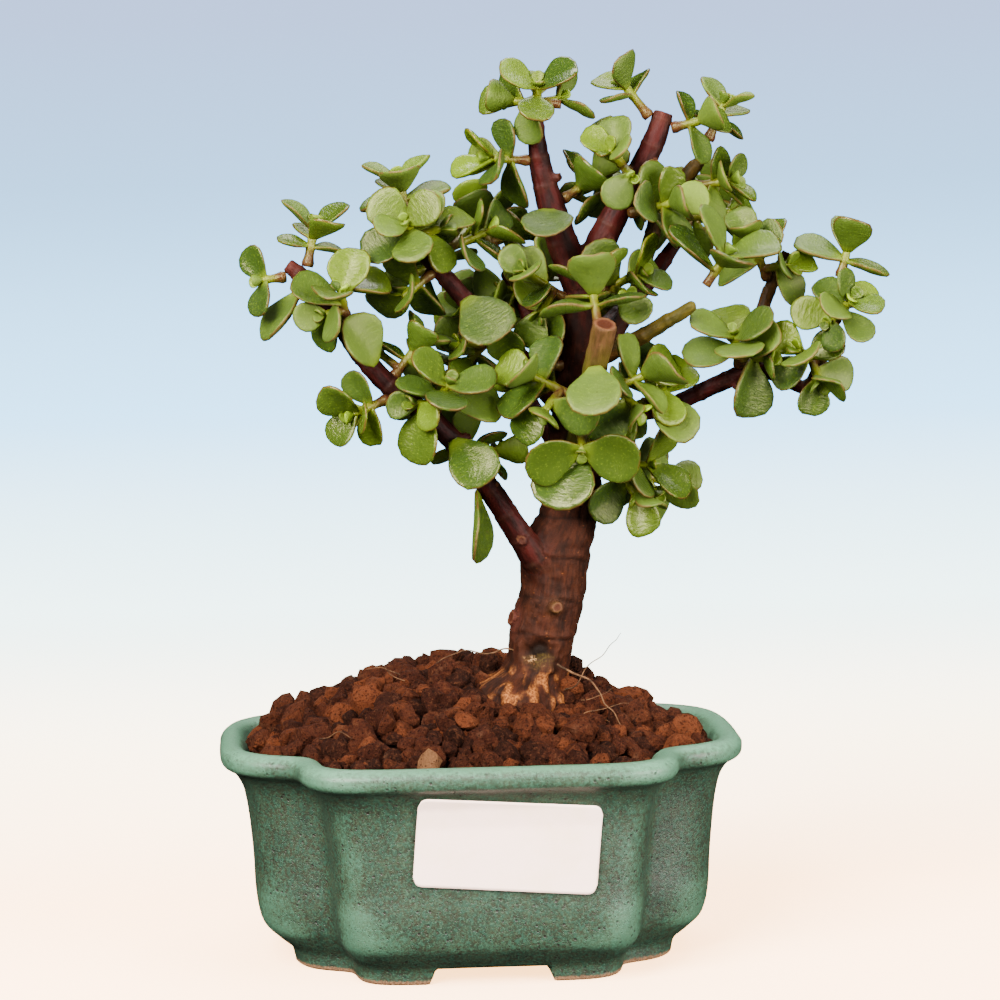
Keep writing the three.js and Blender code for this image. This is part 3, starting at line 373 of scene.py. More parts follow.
def curve(points, places):
    """Places on the smooth curve through the points, counted along them: cubics whose slopes come from the
    points either side, weighed by the root of their spacing."""
    padded = np.vstack([2 * points[0] - points[1], points, 2 * points[-1] - points[-2]])
    span = np.clip(np.floor(places).astype(int), 0, len(points) - 2)
    t = (places - span)[:, None]
    p0, p1, p2, p3 = (padded[span + k] for k in range(4))
    d0, d1, d2 = (np.sqrt(np.linalg.norm(b - a, axis=1, keepdims=True)) for a, b in ((p0, p1), (p1, p2), (p2, p3)))
    start = ((p1 - p0) / d0 - (p2 - p0) / (d0 + d1) + (p2 - p1) / d1) * d1
    end = ((p2 - p1) / d1 - (p3 - p1) / (d1 + d2) + (p3 - p2) / d2) * d1
    return p1 + t * (start + t * (3 * (p2 - p1) - 2 * start - end + t * (2 * (p1 - p2) + start + end)))


# ---------------------------------------------------------------- pieces


def new_mesh(name, points, faces, attributes=None, smooth_faces=True):
    """A mesh of triangles from arrays, shaded smooth or flat, with a number or a vector at each point for each
    attribute."""
    mesh = bpy.data.meshes.new(name)
    mesh.vertices.add(len(points))
    mesh.vertices.foreach_set("co", (points + POT_MIDDLE).astype(np.float32).ravel())
    mesh.loops.add(faces.size)
    mesh.loops.foreach_set("vertex_index", faces.astype(np.int32).ravel())
    mesh.polygons.add(len(faces))
    mesh.polygons.foreach_set("loop_start", np.arange(0, faces.size, 3, dtype=np.int32))
    mesh.polygons.foreach_set("use_smooth", np.full(len(faces), smooth_faces))
    mesh.update(calc_edges=True)
    for key, values in (attributes or {}).items():
        kind, field = ("FLOAT", "value") if values.ndim == 1 else ("FLOAT_VECTOR", "vector")
        mesh.attributes.new(key, kind, "POINT").data.foreach_set(field, values.astype(np.float32).ravel())
    return mesh


def add_piece(name, points, faces, material, slot, attributes=None, replaces=(), smooth_faces=True):
    """Puts a finished piece in the scene, riding on the part's one body."""
    piece = bpy.data.objects.new(name, new_mesh(name, points, faces, attributes, smooth_faces))
    bpy.context.scene.collection.objects.link(piece)
    piece.data.materials.append(material)
    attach(piece, "root")
    if replaces:
        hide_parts(*replaces)
    return piece


def remeshed(points, faces, voxel, smoothing):
    """The one skin round everything that the closed surfaces hold, in cells of one voxel, smoothed: its points,
    triangles and outward normals."""
    mesh = new_mesh("raw", points, faces)
    raw = bpy.data.objects.new("raw", mesh)
    bpy.context.scene.collection.objects.link(raw)
    skin = raw.modifiers.new("skin", "REMESH")
    skin.mode = "VOXEL"
    skin.voxel_size = voxel
    soften = raw.modifiers.new("soften", "SMOOTH")
    soften.iterations = smoothing
    raw.modifiers.new("cut", "TRIANGULATE")
    bpy.context.view_layer.update()
    result = bpy.data.meshes.new_from_object(raw.evaluated_get(bpy.context.evaluated_depsgraph_get()))
    spots = np.empty(len(result.vertices) * 3, np.float32)
    result.vertices.foreach_get("co", spots)
    normals = np.empty(len(result.vertices) * 3, np.float32)
    result.vertex_normals.foreach_get("vector", normals)
    corners = np.empty(len(result.polygons) * 3, np.int32)
    result.loops.foreach_get("vertex_index", corners)
    bpy.data.objects.remove(raw)
    bpy.data.meshes.remove(mesh)
    bpy.data.meshes.remove(result)
    return spots.reshape(-1, 3) - POT_MIDDLE, corners.reshape(-1, 3), normals.reshape(-1, 3)


# ---------------------------------------------------------------- the pot


def lobe_radius(angle, half_x, half_y, power):
    """Distance from the middle, at an angle, of |x / half_x|^power + |y / half_y|^power = 1."""
    x, y = np.abs(np.cos(angle)) / half_x, np.abs(np.sin(angle)) / half_y
    return (x**power + y**power) ** (-1 / power)


def outline_radius(angle, inset):
    """The pot's plan: the larger of a long lobe and a deep lobe, their notch softened by a high power mean."""
    short = np.minimum(inset, (inset + POT["fade"]) / 2)
    side = lobe_radius(angle, POT["long"] - inset, POT["lobe"] - short, LOBE_POWER)
    panel = lobe_radius(angle, POT["panel"] - short, POT["deep"] - inset, PANEL_POWER)
    larger = np.maximum(side, panel)
    return larger * ((side / larger) ** NOTCH_POWER + (panel / larger) ** NOTCH_POWER) ** (1 / NOTCH_POWER)


def pot_rows():
    """The pot's section as [inset, height, share of a circle], once round: up the outside, down the inside,
    along the floor to the drain hole, back under the floor and down inside the foot."""
    wall = curve(POT_WALL, np.linspace(0, len(POT_WALL) - 1, 4 * len(POT_WALL)))
    floor, under = POT_WALL[-1], [FOOT["inner"] - MM, FOOT["height"]]
    inwards = np.linspace(0.2, 1, 5)
    rows = [[max(inset, 0), max(height, 0), 0] for inset, height in wall]
    rows += [[floor[0], floor[1], share] for share in inwards]
    rows += [[floor[0], (floor[1] + under[1]) / 2, 1]]
    rows += [[under[0], under[1], share] for share in inwards[::-1]]
    rows += [[under[0], under[1], 0], [under[0] + MM / 2, under[1] / 2, 0], [FOOT["inner"], 0, 0]]
    rows += [[FOOT["inner"] - 3 * MM, 0, 0], [FOOT["inner"] - 6 * MM, 0, 0]]
    return np.array(rows)


def foot_gap(x, y):
    """Height of the pot's underside: the foot's height between two feet, falling to the ground beside each."""
    front = (FOOT["front_gap"] - np.abs(x)) / FOOT["slope"]
    side = (FOOT["side_gap"] - np.abs(y)) / FOOT["slope"]
    return FOOT["height"] * smooth(np.maximum(front, side))


def build_pot(settings):
    """A grid of rows round the section and columns round the plan, closed both ways. The wall is let in a little
    by clouds of uneven clay, and `thin` is how far a point stands out past its neighbours, where glaze runs off."""
    columns = settings.columns // 4 * 4
    rows = pot_rows()
    angle = np.linspace(0, 2 * math.pi, columns, endpoint=False)
    inset, height, share = (rows[:, [k]] for k in range(3))
    radius = outline_radius(angle, inset) * (1 - share) + DRAIN_RADIUS * share
    points = around(angle, radius, height)
    uneven = settings.unevenness * (1 + rough_noise(points, 9 * MM, 3)) / 2 * (1 - share)
    points[..., :2] *= (1 - uneven / radius)[..., None]
    points[..., 2] = np.maximum(points[..., 2], foot_gap(points[..., 0], points[..., 1]))
    round_pot, up_wall = (np.roll(points, -1, axis) - np.roll(points, 1, axis) for axis in (1, 0))
    normal = unit(np.cross(round_pot, up_wall))
    beside = sum(np.roll(points, step, axis) for step, axis in ((5, 1), (-5, 1), (3, 0), (-3, 0))) / 4
    thin = np.sum((points - beside) * normal, axis=-1) / MM
    faces = grid_faces(len(rows), columns, wrap_rows=True)
    return add_piece("glazed_pot", points.reshape(-1, 3), faces, glaze(settings), "glaze",
                     {"thin": np.clip(thin, -1, 1).ravel()}, ["pot"])


def glaze(settings):
    """Teal-green glaze in clouds, densely speckled and pitted with brown and grey, paler where it runs thin over rim
    and ribs, with a painted highlight along the lip's top and bare clay under the feet."""
    skin = Finish("glaze", Specular_IOR_Level=0.35)
    place = skin.place()
    cloud = skin.noise(place, 7 * MM, 4, 0.65)
    grain = skin.noise(place, 1.2 * MM, 3, 0.7)
    fine = skin.noise(place, 0.5 * MM, 2, 0.6)
    thin = skin.attribute("thin")
    height = skin.part(place, 2)
    base = skin.mix(cloud.rise(0.38, 0.62), settings.deep, settings.colour)
    base = skin.coats(base, [
        [grain.rise(0.5, 0.6) * 0.7, (28, 58, 45)],  # teal grains
        [grain.rise(0.48, 0.38) * 0.6, (38, 32, 22)],  # brown grains
        [fine.rise(0.54, 0.64) * 0.5, (54, 78, 58)],  # pale flecks
        [fine.rise(0.44, 0.36) * 0.5, (26, 28, 20)],  # dark flecks
    ])
    # The lip's top is paler: partly thin glaze, partly a painted highlight, and it keeps no dark specks
    crest_highlight = height.rise(56 * MM, 60 * MM) * (0.1 + grain.rise(0.4, 0.6) * 0.1)
    crest_highlight = crest_highlight + (height + (grain - 0.5) * 2 * MM).rise(61 * MM, 62.6 * MM) * 0.45
    edge = (thin + (grain - 0.5) * 0.6).rise(0.3, 1.0) * 0.4
    base = skin.mix((edge + crest_highlight).math("MINIMUM", 0.85), base, settings.rim)
    speck = skin.cells(place, 2.1 * MM)
    small = skin.cells(place, 0.9 * MM)
    cluster = skin.noise(place, 5 * MM, 2).rise(0.42, 0.6)
    dark = speck.rise(0.24, 0.12) * cluster + small.rise(0.26, 0.12) * 0.6
    base = skin.coats(base, [[dark.math("MINIMUM", 0.85) * (1 - crest_highlight), (24, 18, 13)]])
    clay = (height + (grain - 0.5) * 1.5 * MM).rise(1.6 * MM, 0.8 * MM)
    base = skin.mix(clay, base, skin.between(fine.rise(0.35, 0.65), (78, 52, 30), (112, 78, 50)))
    skin.relief(cloud * 0.5 + grain * 0.35 - dark * 0.4 + fine * 0.12, 0.35 * MM)
    return skin.set(Base_Color=base, Roughness=0.36 + grain * 0.22 + clay * 0.4 + dark * 0.1)


def finish_screen():
    """The plastic net over the drain hole keeps its solid and gets the look of woven strands."""
    skin = Finish("screen_net", Roughness=0.55)
    place = skin.stretch(skin.place(), (1 / STRAND_STEP, 1 / STRAND_STEP, 0))
    strands = [(skin.part(place, axis) * (2 * math.pi)).math("SINE") for axis in (0, 1)]
    woven = strands[0].math("MAXIMUM", strands[1]).rise(0.2, 0.9)
    skin.relief(woven, 0.4 * MM)
    material = skin.set(Base_Color=skin.between(woven, (6, 6, 8), (29, 33, 36)))
    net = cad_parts["drain_screen"].data
    net.materials.clear()
    net.materials.append(material)


# ---------------------------------------------------------------- the label


def front_wall(x, height):
    """Distance of the front wall from the middle plane: the panel's own curve at the height's inset."""
    outside = POT_WALL[:12]
    inset = np.interp(height, outside[:, 1], outside[:, 0])
    return (POT["deep"] - inset) * (1 - (np.abs(x) / (POT["panel"] - inset)) ** PANEL_POWER) ** (1 / PANEL_POWER)


def build_label(settings):
    """A blank paper label bent round the front wall: a grid over a rectangle with circular corners, front and back
    a sheet's thickness apart, its edges lifting a little."""
    columns, rows = 72, 30
    across, up = np.linspace(-0.5, 0.5, columns) * LABEL["width"], np.linspace(-0.5, 0.5, rows)
    end = np.maximum(np.abs(across) - LABEL["width"] / 2 + LABEL["corner"], 0)
    reach = LABEL["height"] - 2 * (LABEL["corner"] - np.sqrt(LABEL["corner"] ** 2 - end**2))
    s, t = np.broadcast_arrays(across, up[:, None] * reach)
    turn = math.radians(LABEL["turn"])
    x = LABEL["x"] + s * math.cos(turn) - t * math.sin(turn)
    z = LABEL["z"] + s * math.sin(turn) + t * math.cos(turn)
    flat = np.stack([x, 0 * x, z], axis=-1)
    cockle = settings.lift * (0.5 + 0.5 * noise(flat, 11 * MM, 8)) * smooth(np.abs(t) / LABEL["height"] * 2) ** 2
    near = front_wall(x, z) + GAP + cockle
    sheets = [np.stack([x, -(near + thick), z], axis=-1) for thick in (settings.thickness, 0)]
    count = rows * columns
    edge = np.concatenate([np.arange(columns), np.arange(2, rows) * columns - 1,
                           np.arange(columns)[::-1] + count - columns, np.arange(rows - 2, 0, -1) * columns])
    after = np.roll(edge, -1)
    side = np.stack([edge, edge + count, after + count, edge, after + count, after], axis=-1).reshape(-1, 3)
    front = grid_faces(rows, columns, wrap_columns=False)
    faces = np.concatenate([front, front[:, ::-1] + count, side])
    return add_piece("paper_label", np.concatenate(sheets).reshape(-1, 3), faces, paper(settings), "label_paper",
                     replaces=["label"])


def paper(settings):
    """White paper with short fibres, a little soiled."""
    skin = Finish("paper", Roughness=0.6)
    place = skin.place()
    fibre = skin.noise(skin.stretch(place, (1, 1, 3)), 0.6 * MM, 3, 0.7)
    soil = skin.noise(place, 9 * MM, 4, 0.6)
    base = skin.coats(settings.colour, [
        [soil.rise(0.45, 0.75) * 0.35, (236, 207, 164)],
        [fibre.rise(0.6, 0.8) * 0.2, (185, 177, 157)],
    ])
    skin.relief(fibre, 0.05 * MM)
    return skin.set(Base_Color=base, Roughness=0.5 + fibre * 0.2)


# ---------------------------------------------------------------- the soil

# Layers of grains: [spacing in grains, how many sizes deep, smallest and largest in grains, share kept]
GRAIN_LAYERS = [[1, 0.35, 0.5, 0.72, 1.0], [1.35, -0.2, 0.5, 0.85, 0.75]]
PEBBLE = MM * np.array([-16.5, -52, 62.5, 3.3])  # a pale one at the front: its middle and size
BED_WALL = MM * np.array([[15.6, 14.5], [14.2, 25], [12.2, 44], [10.2, 52]])  # [inset, height] of the bed's side
NEAR_FOOT_DROP = 5 * MM  # how much lower the grains lie before the trunk
BED = {"sides": 120, "rings": 26, "inset": 1.6 * MM, "drop": 2.6 * MM}  # the drop is from the mound to its top


def mound_height(x, y):
    """Height of the mound: a dome (1 - out^2)^fall over the pot's plan, with a hollow before the trunk."""
    dx, dy = x - SOIL["middle"][0], y - SOIL["middle"][1]
    out = np.hypot(dx, dy) / outline_radius(np.arctan2(dy, dx), SOIL_INSET)
    rise = np.maximum(0, 1 - out * out) ** SOIL["fall"]
    hollow = bell(x - TRUNK_FOOT[0], 15 * MM) * bell(y - TRUNK_FOOT[1] + 15 * MM, 10 * MM)
    return SOIL["edge"] + SOIL["mound"] * rise - SOIL["hollow"] * hollow


def ball(cuts):
    """Directions to the corners of an icosahedron whose faces are cut in four, cuts - 1 times, and its faces."""
    mesh = bpy.data.meshes.new("ball")
    raw = bmesh.new()
    bmesh.ops.create_icosphere(raw, subdivisions=cuts, radius=1)
    raw.to_mesh(mesh)
    raw.free()
    points = np.array([v.co for v in mesh.vertices])
    faces = np.array([p.vertices for p in mesh.polygons])
    bpy.data.meshes.remove(mesh)
    return points, faces


def chipped(places, cuts, rng):
    """Stones at [x, y, z, size]: each a ball cut off at chance distances by flat faces all round, made a little
    uneven, squashed and turned. Returns points, faces and the number of points in one stone."""
    directions, faces = ball(cuts)
    count = len(places)
    flats = unit(rng.normal(size=(count, 8, 3)))
    facing = np.maximum(np.einsum("pi,gki->gkp", directions, flats), 0.001)
    reach = np.minimum((rng.uniform(0.55, 0.95, (count, 8, 1)) / facing).min(axis=1), 1.2)
    reach = reach * rng.uniform(0.86, 1.1, reach.shape)
    lump = directions * reach[..., None] * rng.uniform(0.75, 1.25, (count, 1, 3))
    lump = np.einsum("gpi,gij->gpj", lump, turns(rng, count))
    points = places[:, None, :3] + lump * places[:, None, 3:]
    steps = np.arange(count)[:, None, None] * len(directions)
    return points.reshape(-1, 3), (faces + steps).reshape(-1, 3), len(directions)


def turns(rng, count):
    """Random turns: the square directions of a matrix of normal draws, never mirrored."""
    square = np.linalg.qr(rng.normal(size=(count, 3, 3)))[0]
    return square * np.linalg.det(square)[:, None, None]


def grain_places(settings, rng):
    """Middles and sizes of the grains: a jittered grid just under the mound, and a looser layer on it of larger
    ones. All keep inside the pot's wall, and the pebble comes last."""
    layers = []
    for step, sink, low, high, keep in GRAIN_LAYERS:
        spacing = settings.grain * step
        reach = np.arange(-POT["long"], POT["long"], spacing)
        x, y = np.meshgrid(reach, reach * math.sqrt(3) / 2)
        x = x + (np.arange(len(reach)) % 2)[:, None] * spacing / 2
        x, y = (v.ravel() + rng.uniform(-0.3, 0.3, v.size) * spacing for v in (x, y))
        size = rng.uniform(low, high, x.size) * settings.grain
        drop = rng.uniform(-0.2, 0.2, x.size) * spacing
        z = mound_height(x, y) - sink * size + drop - NEAR_FOOT_DROP * near_foot(x, y)
        inside = np.hypot(x, y) + size * 0.75 < outline_radius(np.arctan2(y, x), SOIL_INSET)
        drawn = rng.uniform(size=x.size) < keep
        beside_trunk = np.hypot(x - TRUNK_FOOT[0], y - TRUNK_FOOT[1]) > 9 * MM
        kept = inside & drawn & beside_trunk
        layers.append(np.stack([x, y, z, size], axis=-1)[kept])
    return np.concatenate(layers + [PEBBLE[None]])


def near_foot(x, y):
    """1 just before the trunk's foot, falling to 0 round it, where the grains lie lower."""
    return bell(x - TRUNK_FOOT[0] + 5 * MM, 13 * MM) * bell(y - TRUNK_FOOT[1] + 12 * MM, 9 * MM)


def crumb_places(settings, rng):
    """Middles and sizes of the crumbs that fill the gaps between the grains."""
    angle, share = rng.uniform(0, 2 * math.pi, settings.crumbs), np.sqrt(rng.uniform(0, 1, settings.crumbs))
    radius = (outline_radius(angle, SOIL_INSET) - 1.4 * MM) * share
    x, y, _ = around(angle, radius, 0).T
    z = mound_height(x, y) - rng.uniform(-0.1, 2, len(x)) * MM - NEAR_FOOT_DROP * near_foot(x, y)
    return np.stack([x, y, z, rng.uniform(0.8, 1.9, len(x)) * MM], axis=-1)


def kept_in(points):
    """Points drawn straight inwards until none is deeper in the pot's wall than its own height allows."""
    inside = POT_WALL[:13:-1]
    inset = np.interp(points[:, 2], inside[:, 1], inside[:, 0]) - 1.2 * MM
    limit = outline_radius(np.arctan2(points[:, 1], points[:, 0]), inset)
    share = np.minimum(1, limit / np.hypot(points[:, 0], points[:, 1]))
    return points * np.stack([share, share, np.ones(len(points))], axis=1)


def build_soil(settings):
    """Grains of baked clay heaped in the pot, each a chipped stone, with crumbs in their gaps and a bed under them,
    painted near black as the shade in those gaps. The bed is rings of the pot's inside, closed by the mound. Every
    stone has its own `tone` from 0 to 1, the pebble's is 2 and the bed's is under 0."""
    rng = np.random.default_rng(settings.seed)
    grains, crumbs = grain_places(settings, rng), crumb_places(settings, rng)
    parts, tones = [], []
    for places, cuts in ((grains, 2), (crumbs, 1)):
        points, faces, corners = chipped(places, cuts, rng)
        tone = rng.uniform(0, 1, len(places))
        if places is grains:
            tone[-1] = 2
        parts.append((kept_in(points), faces))
        tones.append(np.repeat(tone, corners))
    angle = np.linspace(0, 2 * math.pi, BED["sides"], endpoint=False)
    rings = [around(angle, outline_radius(angle, inset + 2 * GAP), height) for inset, height in BED_WALL]
    for share in np.linspace(1, 0.04, BED["rings"]):
        ring = around(angle, (outline_radius(angle, SOIL_INSET) - BED["inset"]) * share, 0)
        x, y, _ = ring.T
        uneven = 1.2 * MM * noise(ring, 3 * MM, 11)
        ring[:, 2] = mound_height(x, y) - BED["drop"] - NEAR_FOOT_DROP * near_foot(x, y) + uneven
        rings.append(ring)
    parts.append(capped(np.array(rings)))
    tones.append(np.full(len(parts[-1][0]), -0.5))
    return add_piece("akadama_soil", *joined(parts), akadama(settings), "akadama", {"tone": np.concatenate(tones)},
                     ["soil"], smooth_faces=False)


def akadama(settings):
    """Baked clay from dark brown to orange, dusty on some grains, porous and dull, with painted shade in its pores.
    The bed is painted near black as the shade between the grains, and the pebble is paler."""
    skin = Finish("akadama", Specular_IOR_Level=0.04)
    place = skin.place()
    tone = skin.attribute("tone")
    cloud = skin.noise(place, 3 * MM, 4, 0.65)
    grit = skin.noise(place, 1.1 * MM, 4, 0.75)
    base = skin.ramp(tone + (cloud - 0.5) * 0.9, [
        (0.0, paint(26, 11, 6)), (0.45, settings.colour), (0.8, paint(57, 27, 14)), (0.98, paint(78, 39, 20))])
    dusty = skin.noise(place, 8 * MM, 2).rise(0.58, 0.72) * cloud.rise(0.45, 0.6)
    base = skin.coats(base, [
        [grit.rise(0.52, 0.64) * 0.6, (70, 40, 24)],
        [grit.rise(0.46, 0.36) * 0.7, (20, 9, 5)],
        [dusty * 0.3, (82, 56, 40)],
        # The bed, painted near black as the shade in the gaps between the grains
        [tone.rise(-0.1, -0.3), (16, 8, 6)],  # the bed
    ])
    base = skin.mix(tone.rise(1.6, 1.9), base, skin.between(cloud, (78, 50, 32), (104, 72, 46)))
    # Dark spots where the bump sinks the pores: painted shade in the pores
    holes = skin.cells(place, 1.1 * MM).rise(0.3, 0.12)
    base = skin.coats(base, [[holes * 0.6, (22, 10, 6)]])
    skin.relief(grit * 1.2 + cloud * 0.8 - holes * 0.5, 1.8 * MM)
    return skin.set(Base_Color=base, Roughness=0.9)


# ---------------------------------------------------------------- the wood

PRUNED = ("knob", "pruned_twig", "front_stem", "left_branch", "left_fork", "right_fork", "right_riser",
          "upper_left_branch", "back_branch")
# Short stubs left where shoots were taken off: [limb, place along its points, direction, length, radius]
STUBS = [
    ["left_branch", 1.6, [-0.3, -0.9, 0.3], 5.2, 1.5], ["left_branch", 2.7, [-0.2, -0.4, 0.9], 5.6, 1.3],
    ["left_branch", 3.9, [0.5, -0.3, 0.8], 5.0, 1.2], ["left_branch", 5.5, [-0.5, -0.8, -0.2], 4.8, 1.2],
    ["left_branch", 8.3, [0.6, -0.6, -0.4], 4.4, 1.1], ["upper_left_branch", 1.4, [-0.7, -0.6, -0.5], 5.4, 1.4],
    ["upper_left_branch", 3.4, [0.2, -0.8, 0.6], 4.6, 1.2], ["right_branch", 2.4, [0.3, -0.4, 0.9], 4.6, 1.2],
    ["right_branch", 4.4, [0.2, -0.6, -0.7], 4.4, 1.1], ["left_fork", 2.6, [0.8, -0.6, 0.2], 5.6, 1.3],
    ["right_fork", 1.3, [0.4, -0.9, 0], 5.8, 1.3], ["right_fork", 3.3, [0.8, -0.5, 0.3], 5.0, 1.2],
    ["trunk", 9.4, [0.9, -0.4, 0.2], 9.2, 1.7], ["trunk", 8.3, [-0.8, -0.6, 0.3], 9.6, 1.6],
]
TRUNK_SCARS = MM * np.array([91.2, 102, 114, 126, 137.5, 150.5])  # heights of old leaf rings
HOLLOW_SCAR = {"middle": MM * np.array([16.9, -6.4, 85.3]), "wide": 5.2 * MM, "tall": 4.8 * MM, "deep": 1.8 * MM}
RING_STEP = 8.2 * MM  # between the old leaf rings of a limb
FOOT_SWELLING = [5.5, 1.2]  # in millimetres, how far the trunk's foot swells to the front left and all round
LIMB_SIDES = 24
BLENDING = 60  # how often age is evened out between neighbours, so that limbs fade into the trunk


def limb_path(points, step):
    """Middles and radii on a limb's curve, about one step apart."""
    points = np.array(points, float) * MM
    length = np.linalg.norm(np.diff(points[:, :3], axis=0), axis=1).sum()
    places = np.linspace(0, len(points) - 1, max(int(length / step), 8))
    radius = np.interp(places, np.arange(len(points)), points[:, 3])
    return curve(points[:, :3], places), radius


def limbs(settings):
    """Every limb and stub: its name, path and radii. Where it is not pruned, its end is rounded off."""
    made = [(name, *limb_path(points, settings.step)) for name, points in WOOD.items()]
    for name, place, direction, length, radius in STUBS:
        start = curve(np.array(WOOD[name])[:, :3] * MM, np.array([place]))[0]
        reach = np.linspace(0, length * MM, 8)[:, None]
        path = start + reach * unit(np.array(direction, float))
        made.append(("stub", path, np.linspace(1.15, 0.95, 8) * radius * MM))
    for name, path, radius in made:
        if name not in PRUNED + ("stub",):
            to_end = np.linalg.norm(path - path[-1], axis=1)
            radius *= np.sqrt(np.clip(1 - (1 - to_end / (radius[-1] * 1.1)).clip(0) ** 2, 0.02, 1))
    return made


def nearest_limb(points, made):
    """For each point, the limb whose skin is nearest: its number, the distance along it, the point's two offsets
    square to it, its radius there and its length. Only points near a limb's box are tried, a block at a time."""
    margin, block = 14 * MM, 8000
    best = np.full(len(points), np.inf)
    found = np.zeros((len(points), 6))
    for number, (_, path, radius) in enumerate(made):
        along, side, other = path_axes(path)
        travelled = np.concatenate([[0], np.cumsum(np.linalg.norm(np.diff(path, axis=0), axis=1))])
        in_box = np.all((points > path.min(0) - margin) & (points < path.max(0) + margin), axis=1)
        spots = np.flatnonzero(in_box)
        for start in range(0, len(spots), block):
            some = spots[start:start + block]
            away = np.linalg.norm(points[some, None] - path, axis=-1) - radius
            k = away.argmin(axis=1)
            reach = away[np.arange(len(some)), k]
            closer = reach < best[some]
            some, k = some[closer], k[closer]
            best[some] = reach[closer]
            offset = points[some] - path[k]
            found[some] = np.stack([
                np.full(len(some), number), travelled[k] + np.sum(offset * along[k], axis=1),
                np.sum(offset * side[k], axis=1), np.sum(offset * other[k], axis=1),
                radius[k], np.full(len(some), travelled[-1]),
            ], axis=1)
    return found


def ridge(distance, width, groove, shift, narrow):
    """A ridge as wide as a width at no distance, and a groove of a share of its height beside it."""
    return bell(distance, width) - groove * bell(distance - shift, narrow)


def leaf_rings(along, number, lengthwise):
    """Distance along a limb from its nearest old leaf ring, the rings a step apart and a little uneven."""
    uneven = 0.2 * noise(lengthwise * [0, 0, 1] + number[:, None], 9 * MM, 26)
    phase = along / RING_STEP + number * 0.37 + uneven
    return (phase - np.round(phase)) * RING_STEP


def trunk_scars(points):
    """Height over the nearest of the scars round the trunk, which tilt a little and waver."""
    tilt = points[:, 2] + 0.12 * (points[:, 0] - 20 * MM) + 0.9 * MM * noise(points, 7 * MM, 27)
    return tilt - TRUNK_SCARS[np.abs(tilt[:, None] - TRUNK_SCARS).argmin(axis=1)]


def foot_swelling(points):
    """How far the trunk's foot swells: most to the front left, fading out above the soil."""
    outwards = unit(points[:, :2] - TRUNK_FOOT) @ unit(np.array([-0.85, -0.5]))
    low = smooth((80.5 * MM - points[:, 2]) / (8 * MM))
    return FOOT_SWELLING[0] * low * smooth((outwards + 0.1) / 1.1) + FOOT_SWELLING[1] * low


def limb_age(names, share):
    """From 0, green, to 1, bark, along a limb by its share of the way to its end."""
    young = np.array([YOUTH.get(name, [1.0, 1.0]) for name in names])
    return young[:, 0] * (1 - share) + young[:, 1] * share


def blended(values, faces, times):
    """Each point's values become the mean of its own and its neighbours', several times over."""
    ends = np.concatenate([faces[:, [0, 1]], faces[:, [1, 2]], faces[:, [2, 0]]])
    count = np.bincount(ends[:, 0], minlength=len(values))[:, None] + 1
    for _ in range(times):
        sums = [np.bincount(ends[:, 0], column[ends[:, 1]], len(values)) for column in values.T]
        values = (values + np.stack(sums, axis=1)) / count
    return values


